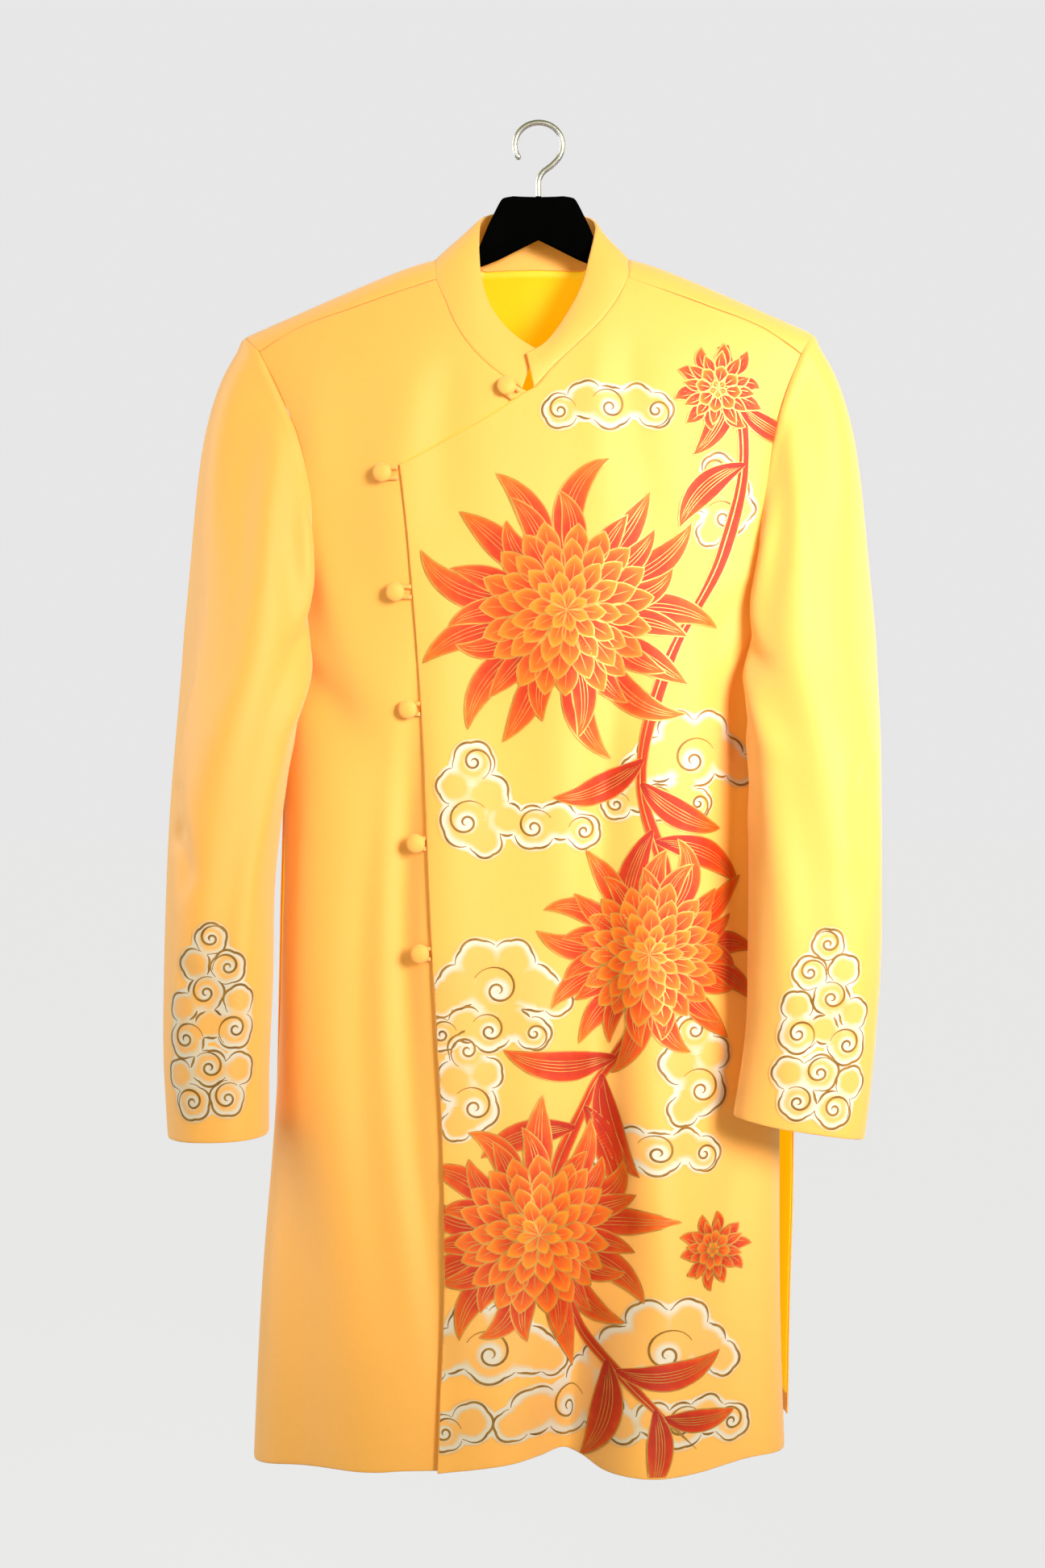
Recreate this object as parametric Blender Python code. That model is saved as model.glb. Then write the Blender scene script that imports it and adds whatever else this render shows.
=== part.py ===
"""Men's ao dai hanging on a suit hanger.

Sizes are in millimetres, measured from the garment's neck points: x to the wearer's left
(the viewer's right), y away from the viewer, z up. The meshes are written in metres,
with the origin at the inside top of the hanger's hook, where it hangs.
"""
import math

import bmesh
import bpy
import numpy as np

METRES = 0.001
HANG_POINT = (4.3, 0.0, 100.0)

CLOTH = 1.5
LINING = 1.0
SEAM_GAP = 0.5
LAYER_GAP = 1.2
FREE_EDGE_GAP = 3.5
VENT_TOP = 520.0

YELLOW = (0.93, 0.66, 0.19, 1.0)
SATIN = (0.95, 0.62, 0.03, 1.0)
BLACK = (0.02, 0.02, 0.022, 1.0)
STEEL = (0.70, 0.71, 0.73, 1.0)


for old in list(bpy.data.objects):
    bpy.data.objects.remove(old, do_unlink=True)


# Small numeric helpers

def step(value):
    """Smooth rise from 0 to 1 as value goes from 0 to 1."""
    t = np.clip(value, 0.0, 1.0)
    return t * t * (3.0 - 2.0 * t)


def column(table, name):
    """One named column of a table whose first row holds the names."""
    place = table[0].index(name)
    return np.array([row[place] for row in table[1:]], float)


def read(table, key, name, at):
    """Value of a column at the given key values, on a smooth curve through the rows."""
    xs = column(table, key)
    ys = column(table, name)
    slope = np.gradient(ys, xs)
    at = np.clip(np.asarray(at, float), xs[0], xs[-1])
    i = np.clip(np.searchsorted(xs, at, side="right") - 1, 0, len(xs) - 2)
    width = xs[i + 1] - xs[i]
    t = (at - xs[i]) / width
    a = (1.0 + 2.0 * t) * (1.0 - t) ** 2
    b = t * (1.0 - t) ** 2
    c = t * t * (3.0 - 2.0 * t)
    d = t * t * (t - 1.0)
    return a * ys[i] + b * width * slope[i] + c * ys[i + 1] + d * width * slope[i + 1]


def along(points, count):
    """Points evenly spaced along a smooth line through the given points."""
    pts = np.asarray(points, float)
    run = np.concatenate([[0.0], np.cumsum(np.linalg.norm(np.diff(pts, axis=0), axis=1))])
    slope = np.gradient(pts, run, axis=0)
    fine = np.linspace(0.0, run[-1], 40 * len(pts))
    i = np.clip(np.searchsorted(run, fine, side="right") - 1, 0, len(run) - 2)
    width = (run[i + 1] - run[i])[:, None]
    t = (fine - run[i])[:, None] / width
    curve = ((1.0 + 2.0 * t) * (1.0 - t) ** 2 * pts[i] + t * (1.0 - t) ** 2 * width * slope[i]
             + t * t * (3.0 - 2.0 * t) * pts[i + 1] + t * t * (t - 1.0) * width * slope[i + 1])
    length = np.concatenate([[0.0], np.cumsum(np.linalg.norm(np.diff(curve, axis=0), axis=1))])
    even = np.linspace(0.0, length[-1], count + 1)
    return np.stack([np.interp(even, length, curve[:, k]) for k in range(pts.shape[1])], 1)


def unit(vectors):
    """Vectors made one long."""
    return vectors / np.maximum(np.linalg.norm(vectors, axis=-1, keepdims=True), 1e-9)


# The body of the garment as one surface. s runs across it, -1 and 1 at the side seams.
# w runs down from the top of the shoulder, positive down the front, negative down the back.

SECTION_POWER = 0.8
ACROSS_SCALE = 230.0
FRONT_DEPTH = 80.0
BACK_DEPTH = 76.0
FILL_HEIGHT = 110.0
SHOULDER_DROP = 0.445
NECK_HALF_WIDTH = 78.0

HALF_WIDTH = [
    ("down", "left_front", "left_back", "right_front", "right_back"),
    (0, 229.4, 229.4, 222.4, 222.4),
    (60, 221, 221, 215, 215),
    (120, 212, 212, 208, 208),
    (180, 205, 205, 202, 202),
    (240, 200.5, 200.5, 199, 199),
    (300, 198, 198, 197.5, 197.5),
    (370, 199, 199, 198, 198),
    (445, 202, 202, 200, 200),
    (505, 203.7, 203.5, 201, 201.5),
    (565, 205.6, 204, 200.5, 206),
    (640, 209.5, 206, 200, 211),
    (740, 214.7, 210, 199, 213),
    (870, 221, 215, 200, 211.5),
    (975, 225.5, 220, 203.5, 210.5),
]

FRONT_FOLDS = [
    ("top_x", "hem_x", "top_width", "hem_width", "start", "full", "depth"),
    (74, 28, 26, 23, 330, 960, 46),
    (112, 88, 24, 26, 330, 960, -14),
    (156, 168, 14, 20, 260, 960, 9),
    (-172, -186, 16, 16, 480, 960, 5),
    (-128, -128, 22, 26, 560, 960, -7),
]

BACK_FOLDS = [
    ("top_x", "hem_x", "top_width", "hem_width", "start", "full", "depth"),
    (-60, -48, 28, 30, 380, 960, -22),
    (66, 84, 26, 28, 420, 960, -18),
    (8, 16, 26, 26, 400, 960, 9),
    (-150, -140, 22, 24, 420, 960, 7),
]


def shoulder_height(x):
    """Height of the shoulder line over a distance from the middle."""
    past = np.abs(x) - NECK_HALF_WIDTH
    return -SHOULDER_DROP * (np.sqrt(past ** 2 + 900.0) + past) / 2.0


def level_out(down):
    """How much of the shoulder's slope is left at a distance below it."""
    return 1.0 - step(down / 330.0)


def ridge_radius(across):
    """Roundness of the shoulder's top: narrow at the neck, wider at the sleeve."""
    return 12.0 + 10.0 * step((np.abs(across) - 0.35) / 0.6)


def half_width(down, across, front):
    """Half the garment's width at a distance below the shoulder line, on each side."""
    left = np.where(front, read(HALF_WIDTH, "down", "left_front", down),
                    read(HALF_WIDTH, "down", "left_back", down))
    right = np.where(front, read(HALF_WIDTH, "down", "right_front", down),
                     read(HALF_WIDTH, "down", "right_back", down))
    blend = 0.5 + 0.5 * np.tanh(across * 4.0)
    return left * (1.0 - blend) + right * blend


def fold_depth(table, x, down):
    """Depth of the long soft folds, zero above where each starts."""
    total = np.zeros_like(x)
    for top_x, hem_x, top_width, hem_width, start, full, depth in table[1:]:
        grow = np.clip((down - start) / (full - start), 0.0, 1.15)
        middle = top_x + (hem_x - top_x) * grow
        width = top_width + (hem_width - top_width) * grow
        total = total + depth * grow ** 1.5 * np.exp(-0.5 * ((x - middle) / width) ** 2)
    return total


def torso(s, w):
    """Points of the body surface."""
    s, w = np.broadcast_arrays(np.asarray(s, float), np.asarray(w, float))
    angle = s * math.pi / 2.0
    across = np.sign(s) * np.abs(np.sin(angle)) ** SECTION_POWER
    forward = np.maximum(np.cos(angle), 0.0) ** SECTION_POWER
    radius = ridge_radius(across)
    arc = np.minimum(np.abs(w), radius * math.pi / 2.0)
    down = radius * (1.0 - np.cos(arc / radius)) + (np.abs(w) - arc)
    front = w > 0
    x = half_width(down, across, front) * across
    z = shoulder_height(x) * level_out(down) - down
    depth = np.where(front, FRONT_DEPTH, BACK_DEPTH)
    round_part = radius * np.sin(arc / radius) * (1.0 + (forward - 1.0) * step(down / 150.0))
    fill = (depth - radius) * (1.0 - np.exp(-down / FILL_HEIGHT)) * forward
    spread = 26.0 * step((down - VENT_TOP) / 520.0) * 1.15
    away = round_part + fill + spread
    folds = np.where(front, fold_depth(FRONT_FOLDS, x, down), -fold_depth(BACK_FOLDS, x, down))
    y = np.where(front, -away + folds, away - np.abs(folds) * np.sign(folds))
    return np.stack([x, y, z], -1)


def torso_normal(s, w):
    """Outward normals of the body surface."""
    e = 0.002
    low = np.clip(s - e, -1.0, 1.0)
    high = np.clip(s + e, -1.0, 1.0)
    by_s = torso(high, w) - torso(low, w)
    by_w = torso(s, w + 0.8) - torso(s, w - 0.8)
    return unit(np.cross(by_w, by_s))


def place(x, z, front=True):
    """s and w of the body surface at a front view position."""
    x = np.asarray(x, float)
    z = np.asarray(z, float)
    down = np.maximum(-z + shoulder_height(x) * 0.6, 0.0)
    for _ in range(60):
        down = np.maximum(down * 0.4 + (shoulder_height(x) * level_out(down) - z) * 0.6, 0.0)
    side = np.sign(x)
    across = np.clip(x / 200.0, -1.0, 1.0)
    for _ in range(8):
        across = np.clip(x / half_width(down, across, front), -1.0, 1.0)
    s = side * 2.0 / math.pi * np.arcsin(np.abs(across) ** (1.0 / SECTION_POWER))
    radius = ridge_radius(across)
    arc = radius * np.arccos(np.clip(1.0 - down / radius, 0.0, 1.0))
    w = np.where(down < radius, arc, radius * math.pi / 2.0 + down - radius)
    return s, np.where(front, w, -w)


def even_on_body(line, count, crowd=1.0):
    """s and w of points spaced along a line on the body surface, closer at its start if crowd is over 1."""
    solid = torso(line[:, 0], line[:, 1])
    length = np.concatenate([[0.0], np.cumsum(np.linalg.norm(np.diff(solid, axis=0), axis=1))])
    even = length[-1] * np.linspace(0.0, 1.0, count + 1) ** crowd
    return np.stack([np.interp(even, length, line[:, k]) for k in range(2)], 1)


def placed_line(points, count, front=True, crowd=1.0):
    """A front view line on the body surface, as evenly spaced s and w."""
    line = along(points, 400)
    s, w = place(line[:, 0], line[:, 1], front)
    return even_on_body(np.stack([s, w], 1), count, crowd)


def patch(top, bottom, start, end):
    """Grid filled in between four sides that share their corners. Rows run from top to bottom."""
    rows = len(start)
    cols = len(top)
    v = np.linspace(0.0, 1.0, rows)[:, None, None]
    u = np.linspace(0.0, 1.0, cols)[None, :, None]
    across = (1.0 - v) * top[None] + v * bottom[None]
    downward = (1.0 - u) * start[:, None] + u * end[:, None]
    corners = ((1.0 - v) * (1.0 - u) * top[0] + (1.0 - v) * u * top[-1]
               + v * (1.0 - u) * bottom[0] + v * u * bottom[-1])
    return relax(across + downward - corners)


def relax(grid, rounds=600):
    """The grid's inner points settled so that no two cells cover each other."""
    scale = np.array([ACROSS_SCALE, 1.0])
    p = grid * scale
    for _ in range(rounds):
        by_u = (p[1:-1, 2:] - p[1:-1, :-2]) / 2.0
        by_v = (p[2:, 1:-1] - p[:-2, 1:-1]) / 2.0
        alpha = np.sum(by_v * by_v, axis=-1, keepdims=True)
        beta = np.sum(by_u * by_v, axis=-1, keepdims=True)
        gamma = np.sum(by_u * by_u, axis=-1, keepdims=True)
        twist = (p[2:, 2:] - p[:-2, 2:] - p[2:, :-2] + p[:-2, :-2]) / 4.0
        settled = (alpha * (p[1:-1, 2:] + p[1:-1, :-2]) + gamma * (p[2:, 1:-1] + p[:-2, 1:-1])
                   - 2.0 * beta * twist) / (2.0 * (alpha + gamma) + 1e-9)
        p[1:-1, 1:-1] = p[1:-1, 1:-1] * 0.3 + settled * 0.7
    return p / scale


# Meshes

def material(name, colour, rough, metal=0.0):
    """A plain material."""
    made = bpy.data.materials.get(name)
    if made is None:
        made = bpy.data.materials.new(name)
        made.use_nodes = True
        shader = made.node_tree.nodes["Principled BSDF"]
        shader.inputs["Base Color"].default_value = colour
        shader.inputs["Roughness"].default_value = rough
        shader.inputs["Metallic"].default_value = metal
    return made


def add_mesh(name, points, faces, look):
    """One closed solid as a node, its faces turned outward."""
    shifted = (np.asarray(points, float) - np.array(HANG_POINT)) * METRES
    mesh = bpy.data.meshes.new(name)
    mesh.from_pydata([tuple(p) for p in shifted], [], faces)
    work = bmesh.new()
    work.from_mesh(mesh)
    bmesh.ops.triangulate(work, faces=[face for face in work.faces if len(face.verts) > 3])
    bmesh.ops.recalc_face_normals(work, faces=list(work.faces))
    work.to_mesh(mesh)
    work.free()
    mesh.shade_smooth()
    node = bpy.data.objects.new(name, mesh)
    bpy.context.scene.collection.objects.link(node)
    mesh.materials.append(material(*look))
    return node


def sheet_solid(name, outer, inner, look, kept=None):
    """Wall between two grids of points, closed along its edges. kept marks the cells that it has."""
    rows, cols = outer.shape[:2]
    count = rows * cols
    if kept is None:
        kept = np.ones((rows - 1, cols - 1), bool)
    faces = []
    edges = set()
    for r in range(rows - 1):
        for c in range(cols - 1):
            if not kept[r, c]:
                continue
            a, b = r * cols + c, r * cols + c + 1
            d, e = a + cols, b + cols
            for layer in (0, count):
                faces.append((layer + a, layer + b, layer + e))
                faces.append((layer + a, layer + e, layer + d))
            for edge in ((a, b), (b, e), (e, d), (d, a)):
                if (edge[1], edge[0]) in edges:
                    edges.remove((edge[1], edge[0]))
                else:
                    edges.add(edge)
    for a, b in sorted(edges):
        faces.append((a, b, count + b, count + a))
    points = np.concatenate([outer.reshape(-1, 3), inner.reshape(-1, 3)])
    used = sorted({corner for face in faces for corner in face})
    place_of = {old: new for new, old in enumerate(used)}
    faces = [tuple(place_of[corner] for corner in face) for face in faces]
    return add_mesh(name, points[used], faces, look)


def tube_wall(name, outer, inner, look):
    """Open tube with a wall, its rings closed round and joined at both ends."""
    rows, cols = outer.shape[:2]
    count = rows * cols
    points = np.concatenate([outer.reshape(-1, 3), inner.reshape(-1, 3)])
    faces = []
    for r in range(rows - 1):
        for c in range(cols):
            n = (c + 1) % cols
            a, b = r * cols + c, r * cols + n
            d, e = (r + 1) * cols + c, (r + 1) * cols + n
            for layer in (0, count):
                faces.append((layer + a, layer + b, layer + e))
                faces.append((layer + a, layer + e, layer + d))
    for c in range(cols):
        n = (c + 1) % cols
        faces.append((c, count + c, count + n, n))
        last = (rows - 1) * cols
        faces.append((last + c, last + n, count + last + n, count + last + c))
    return add_mesh(name, points, faces, look)


def solid_rings(name, rings, look):
    """Solid through closed rings, capped at both ends."""
    rings = np.asarray(rings, float)
    rows, cols = rings.shape[:2]
    faces = []
    for r in range(rows - 1):
        for c in range(cols):
            n = (c + 1) % cols
            faces.append((r * cols + c, r * cols + n, (r + 1) * cols + n, (r + 1) * cols + c))
    faces.append(tuple(range(cols)))
    faces.append(tuple((rows - 1) * cols + c for c in range(cols)))
    return add_mesh(name, rings.reshape(-1, 3), faces, look)


def round_rod(name, path, radius, sides, look):
    """Round rod along a path, its rings kept from twisting."""
    path = np.asarray(path, float)
    forward = unit(np.gradient(path, axis=0))
    first = np.cross(forward[0], (0.0, 1.0, 0.2))
    side = unit(first)
    rings = []
    for point, ahead in zip(path, forward):
        side = unit(side - np.dot(side, ahead) * ahead)
        up = np.cross(ahead, side)
        turn = np.arange(sides) * 2.0 * math.pi / sides
        rings.append(point + radius * (np.cos(turn)[:, None] * side + np.sin(turn)[:, None] * up))
    return solid_rings(name, rings, look)


CLOTH_LOOK = ("yellow_cloth", YELLOW, 0.8)
SATIN_LOOK = ("yellow_satin", SATIN, 0.45)
PLASTIC_LOOK = ("black_plastic", BLACK, 0.35)
STEEL_LOOK = ("hook_steel", STEEL, 0.25, 1.0)


# Seam and edge lines, as seen from the front

SHOULDER_SEAM_LEFT = [("x", "z"), (-77.5, -24), (-110, -34.5), (-141, -45.7), (-187, -62.5), (-217.4, -81.5)]
SHOULDER_SEAM_RIGHT = [("x", "z"), (75, -23), (110, -34.5), (141, -46), (184, -63), (212.5, -83.4)]
ARMHOLE_LEFT = [("x", "z"), (-217.4, -81.5), (-209, -97), (-199.7, -118), (-189, -139), (-182.4, -160),
                (-177, -184), (-174.5, -208), (-176, -232), (-181, -256), (-189, -280), (-198, -300)]
ARMHOLE_RIGHT = [("x", "z"), (212.5, -83.4), (205, -101), (196, -126), (190.5, -148), (185.5, -175),
                 (181, -204), (179, -230), (182, -256), (189, -280), (197.5, -300)]
BACK_ARMHOLE = [("inset", "z"), (0, -68.6), (6, -90), (13, -115), (19, -145), (23, -175), (25, -205),
                (23.5, -232), (18, -256), (9, -279), (0, -300)]
NECK_LEFT = [("x", "z"), (-77.5, -24), (-70, -41), (-61, -61.8), (-48.4, -80), (-35.7, -92.8),
             (-23, -103), (-9, -112.5), (3, -117)]
NECK_RIGHT = [("x", "z"), (75, -23), (66, -42), (51.5, -61), (36, -76.5), (19.5, -92), (9, -103), (0.6, -112.7)]
BACK_NECK = [("x", "w"), (-77.5, 8), (-76, -2), (-66, -10), (-45, -15), (-20, -17.5), (0, -18),
             (20, -17.5), (45, -15), (65, -10), (74.5, -2), (75.5, 8)]
UNDER_EDGE = [("x", "z"), (3, -117), (-16, -146), (-42, -178), (-52, -215), (-52, -300), (-44, -480),
              (-38, -700), (-34, -957)]
SLANT_EDGE = [("x", "z"), (0.6, -112.7), (-10.5, -119), (-38, -137), (-64, -150), (-88, -164), (-101, -171)]
OVER_EDGE = [("x", "z"), (-101, -171), (-104.6, -177), (-103, -188), (-100, -208), (-97, -240), (-93.5, -282),
             (-88, -364), (-83, -469), (-79, -556), (-75, -630), (-71.7, -693), (-69.7, -818), (-72.5, -890),
             (-75, -960.5)]
HEM_UNDER = [("x", "z"), (-225.5, -966.5), (-200, -963.5), (-166, -961), (-127, -961), (-100, -959.5),
             (-74, -959.5), (-34, -957)]
HEM_OVER = [("x", "z"), (-75, -960.5), (-38, -956.5), (-3, -952), (25, -949.5), (42, -954), (60, -961),
            (82, -962.5), (112, -964), (127, -963.5), (149, -961), (176, -958), (203.4, -958)]
HEM_BACK = [("x", "z"), (-219, -950), (-110, -949), (0, -948), (110, -948), (210.4, -948)]


def rows_of(table):
    """The rows of a table of points without its names."""
    return table[1:]


def side_line(start_z, hem_z, side, count, front):
    """The side seam from the underarm to the hem, with rows closer at its top."""
    t = np.linspace(0.0, 1.0, count + 1) ** 1.15
    z = start_z + (hem_z - start_z) * t
    down = -z
    for _ in range(40):
        reach = half_width(down, np.full_like(down, side), front)
        down = shoulder_height(reach) * level_out(down) - z
    radius = ridge_radius(1.0)
    w = radius * math.pi / 2.0 + down - radius
    return np.stack([np.full_like(w, side), w if front else -w], 1)


def join(*lines):
    """Lines end to end, each shared point kept once."""
    return np.concatenate([lines[0]] + [line[1:] for line in lines[1:]])


def panel(name, grid, lift, look, wall=CLOTH, kept=None):
    """A panel of cloth on the body surface, its outer face lifted by a distance."""
    s, w = grid[..., 0], grid[..., 1]
    points = torso(s, w)
    normal = torso_normal(s, w)
    rise = np.asarray(lift, float)
    rise = rise[..., None] if rise.ndim else rise
    outer = points + normal * rise
    inner = points + normal * (rise - wall)
    sheet_solid(name, outer, inner, look, kept)


# The under front, wearer's right: shoulder, armhole, side, hem, hidden edge and neck

SEAM_COLUMNS = 13
ARM_ROWS = 10
NECK_ROWS = 6

left_seam = placed_line(rows_of(SHOULDER_SEAM_LEFT), SEAM_COLUMNS)
left_arm = placed_line(rows_of(ARMHOLE_LEFT), ARM_ROWS)
left_side = side_line(-300.0, -966.5, -1.0, 14, True)
left_neck = placed_line(rows_of(NECK_LEFT)[:-1], NECK_ROWS)
left_tab = placed_line(rows_of(NECK_LEFT)[-2:], 1)
left_hidden = placed_line(rows_of(UNDER_EDGE), 17)
left_hem = placed_line(rows_of(HEM_UNDER)[::-1], SEAM_COLUMNS)
left_arm[-1] = left_side[0]
left_hem[-1] = left_side[-1]
under_start = join(left_neck, left_tab, left_hidden)
under_end = join(left_arm, left_side)
under_grid = patch(left_seam, left_hem, under_start, under_end)
panel("front_right", under_grid, 0.0, CLOTH_LOOK)


# The over front, wearer's left, lies on the under front and meets the back at its own side

right_seam = placed_line(rows_of(SHOULDER_SEAM_RIGHT), SEAM_COLUMNS)
right_arm = placed_line(rows_of(ARMHOLE_RIGHT), ARM_ROWS)
right_side = side_line(-300.0, -958.0, 1.0, 16, True)
right_neck = placed_line(rows_of(NECK_RIGHT), NECK_ROWS)
slant = placed_line(rows_of(SLANT_EDGE), 6)
free_edge = placed_line(rows_of(OVER_EDGE), 14)
right_hem = placed_line(rows_of(HEM_OVER), SEAM_COLUMNS)
right_arm[-1] = right_side[0]
right_hem[-1] = right_side[-1]
over_grid = patch(right_seam, right_hem, join(right_neck, slant, free_edge), join(right_arm, right_side))


def over_lift(points):
    """How far the over front lies outside the body surface: a little more down the open edge."""
    gap = LAYER_GAP + FREE_EDGE_GAP * step((-points[..., 2] - 250.0) / 700.0)
    return (CLOTH + gap) * (1.0 - step((points[..., 0] - 40.0) / 90.0))


over_points = torso(over_grid[..., 0], over_grid[..., 1])
panel("front_left", over_grid, over_lift(over_points), CLOTH_LOOK)


# The back wraps over the shoulders to the forward seams. Its satin lining lies inside it.

SHOULDER_COLUMNS = 8
NECK_COLUMNS = 8
FORWARD_ROWS = 3
BEHIND_ROWS = 2
BACK_ARM_ROWS = 8
BACK_SIDE_ROWS = 10
STRIP_FOOT = -22.0
SIDE_GAP = 0.0009
LINING_RISE = 0.24


def seam_gap_back(line):
    """The forward seam's line moved back by the gap between the pieces."""
    moved = np.array(line)
    moved[:, 1] -= SEAM_GAP
    return moved


def straight(start, end, count):
    """Evenly spaced s and w from one point to another."""
    t = np.linspace(0.0, 1.0, count + 1)[:, None]
    return np.asarray(start) * (1.0 - t) + np.asarray(end) * t


def back_arm_line(side):
    """The back armhole below the shoulder strip, down to the underarm."""
    inset = column(BACK_ARMHOLE, "inset")
    z = column(BACK_ARMHOLE, "z")
    reach = half_width(np.maximum(-z - 20.0, 0.0), np.full_like(z, side), False)
    line = placed_line(np.stack([side * (reach - inset), z], 1), 120, front=False)
    line[0] = (side, 0.0)
    below = line[line[:, 1] <= STRIP_FOOT]
    return even_on_body(below, BACK_ARM_ROWS, crowd=1.15)


def shoulder_strip(seam, side, arm_foot, neck):
    """The part of the back that wraps over one shoulder, from the forward seam to behind the top."""
    outer_side = join(straight(seam[-1], (side, 0.0), FORWARD_ROWS), straight((side, 0.0), arm_foot, BEHIND_ROWS))
    foot = straight(neck[-1], arm_foot, SHOULDER_COLUMNS)
    return patch(seam, foot, neck, outer_side)


def neck_side(seam_end, side):
    """The neckline beside the neck, from the forward seam to behind the shoulder's top."""
    x = column(BACK_NECK, "x")
    w = column(BACK_NECK, "w")
    s = place(x, shoulder_height(x) - 4.0)[0]
    line = np.stack([s, w], 1)
    half = line[:4] if side < 0 else line[::-1][:4]
    full = np.concatenate([seam_end[None], half])
    fine = along(full * (60.0, 1.0), 200) / (60.0, 1.0)
    return even_on_body(fine, FORWARD_ROWS + BEHIND_ROWS)


left_back_seam = seam_gap_back(placed_line(rows_of(SHOULDER_SEAM_LEFT), SHOULDER_COLUMNS))
right_back_seam = seam_gap_back(placed_line(rows_of(SHOULDER_SEAM_RIGHT), SHOULDER_COLUMNS))
left_back_arm = back_arm_line(-1.0)
right_back_arm = back_arm_line(1.0)
left_neck_side = neck_side(left_back_seam[0], -1.0)
right_neck_side = neck_side(right_back_seam[0], 1.0)
left_strip = shoulder_strip(left_back_seam, -1.0, left_back_arm[0], left_neck_side)
right_strip = shoulder_strip(right_back_seam, 1.0, right_back_arm[0], right_neck_side)
neck_middle = np.concatenate([left_neck_side[-1:], [(-0.09, -17.6), (0.0, -18.0), (0.09, -17.6)],
                              right_neck_side[-1:]])
neck_middle = even_on_body(along(neck_middle * (60.0, 1.0), 200) / (60.0, 1.0), NECK_COLUMNS)
back_left_side = side_line(-300.0, -950.0, -1.0, BACK_SIDE_ROWS, False)
back_right_side = side_line(-300.0, -948.0, 1.0, BACK_SIDE_ROWS, False)
left_back_arm[-1] = back_left_side[0]
right_back_arm[-1] = back_right_side[0]
main_top = join(left_strip[-1][::-1], neck_middle, right_strip[-1])
back_hem = placed_line(rows_of(HEM_BACK), len(main_top) - 1, front=False)
back_hem[0] = back_left_side[-1]
back_hem[-1] = back_right_side[-1]
main_grid = patch(main_top, back_hem, join(left_back_arm, back_left_side), join(right_back_arm, back_right_side))
main_grid[BACK_ARM_ROWS:, 0, 0] += SIDE_GAP
main_grid[BACK_ARM_ROWS:, -1, 0] -= SIDE_GAP
strip_rows = FORWARD_ROWS + BEHIND_ROWS
blank = np.repeat(neck_middle[None, 1:-1], strip_rows, axis=0)
upper_grid = np.concatenate([left_strip[:-1, ::-1], blank, right_strip[:-1]], axis=1)
lining_foot = main_grid[-2:-1] * LINING_RISE + main_grid[-1:] * (1.0 - LINING_RISE)
back_grid = np.concatenate([upper_grid, main_grid[:-1], lining_foot, main_grid[-1:]])
back_kept = np.ones((back_grid.shape[0] - 1, back_grid.shape[1] - 1), bool)
back_kept[:strip_rows, SHOULDER_COLUMNS:SHOULDER_COLUMNS + NECK_COLUMNS] = False
panel("back", back_grid, 0.0, CLOTH_LOOK, kept=back_kept)
panel("back_lining", back_grid[:-1], -(CLOTH + 0.3), SATIN_LOOK, LINING, back_kept[:-1])


# Sleeves: a cap from the armhole to the upper arm, then sections down to the cuff

SLEEVE_LEFT = [
    ("down", "x", "y", "half_x", "half_y", "turn", "rise"),
    (330, 229.5, -27, 49, 68, 18, 3),
    (363, 233.5, -37, 48, 65, 12, 2),
    (400, 238, -45, 46.5, 62, 7, 1),
    (442, 242.5, -51, 44.7, 59.5, 3, 0),
    (505, 247, -58, 42.5, 56.5, 0, 0),
    (577, 248.5, -64, 42.7, 54, 0, 0),
    (640, 250, -68, 41.5, 52, 0, 0),
    (698.5, 248.6, -70, 39.7, 50, 0, 1),
]
SLEEVE_RIGHT = [
    ("down", "x", "y", "half_x", "half_y", "turn", "rise"),
    (330, 221, -36, 50, 66, 22, 3),
    (376, 221.6, -54, 51.8, 60, 14, 2),
    (440, 221.5, -69, 52, 54, 6, 0),
    (500, 221, -79, 52.1, 48, 0, 0),
    (560, 220, -85, 52, 43, 0, 0),
    (612, 217.7, -88, 50.8, 39, 0, 1),
    (660, 212.5, -90, 51.5, 36, 0, 5),
    (689.5, 208.2, -91, 51.5, 35, 0, 9),
]
CAP = [
    ("round", "angle", "out", "ahead", "up", "stand"),
    (0.00, 0, 0.55, 0.00, -0.74, 1.4),
    (0.07, 32, 0.55, 0.12, -0.74, 1.4),
    (0.15, 68, 0.50, 0.32, -0.72, 1.0),
    (0.32, 138, 0.05, 0.80, -0.60, 0.0),
    (0.43, 176, -0.10, 0.70, -0.70, 0.0),
    (0.53, 214, 0.35, 0.05, -0.93, 0.0),
    (0.63, 246, 0.25, -0.45, -0.85, 0.0),
    (0.76, 284, 0.42, -0.42, -0.78, 0.6),
    (0.90, 326, 0.52, -0.16, -0.76, 1.3),
    (1.00, 360, 0.55, 0.00, -0.74, 1.4),
]
CAP_ROWS = 7
ARM_LENGTH_ROWS = 13
REST_GAP = 3.0


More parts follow.
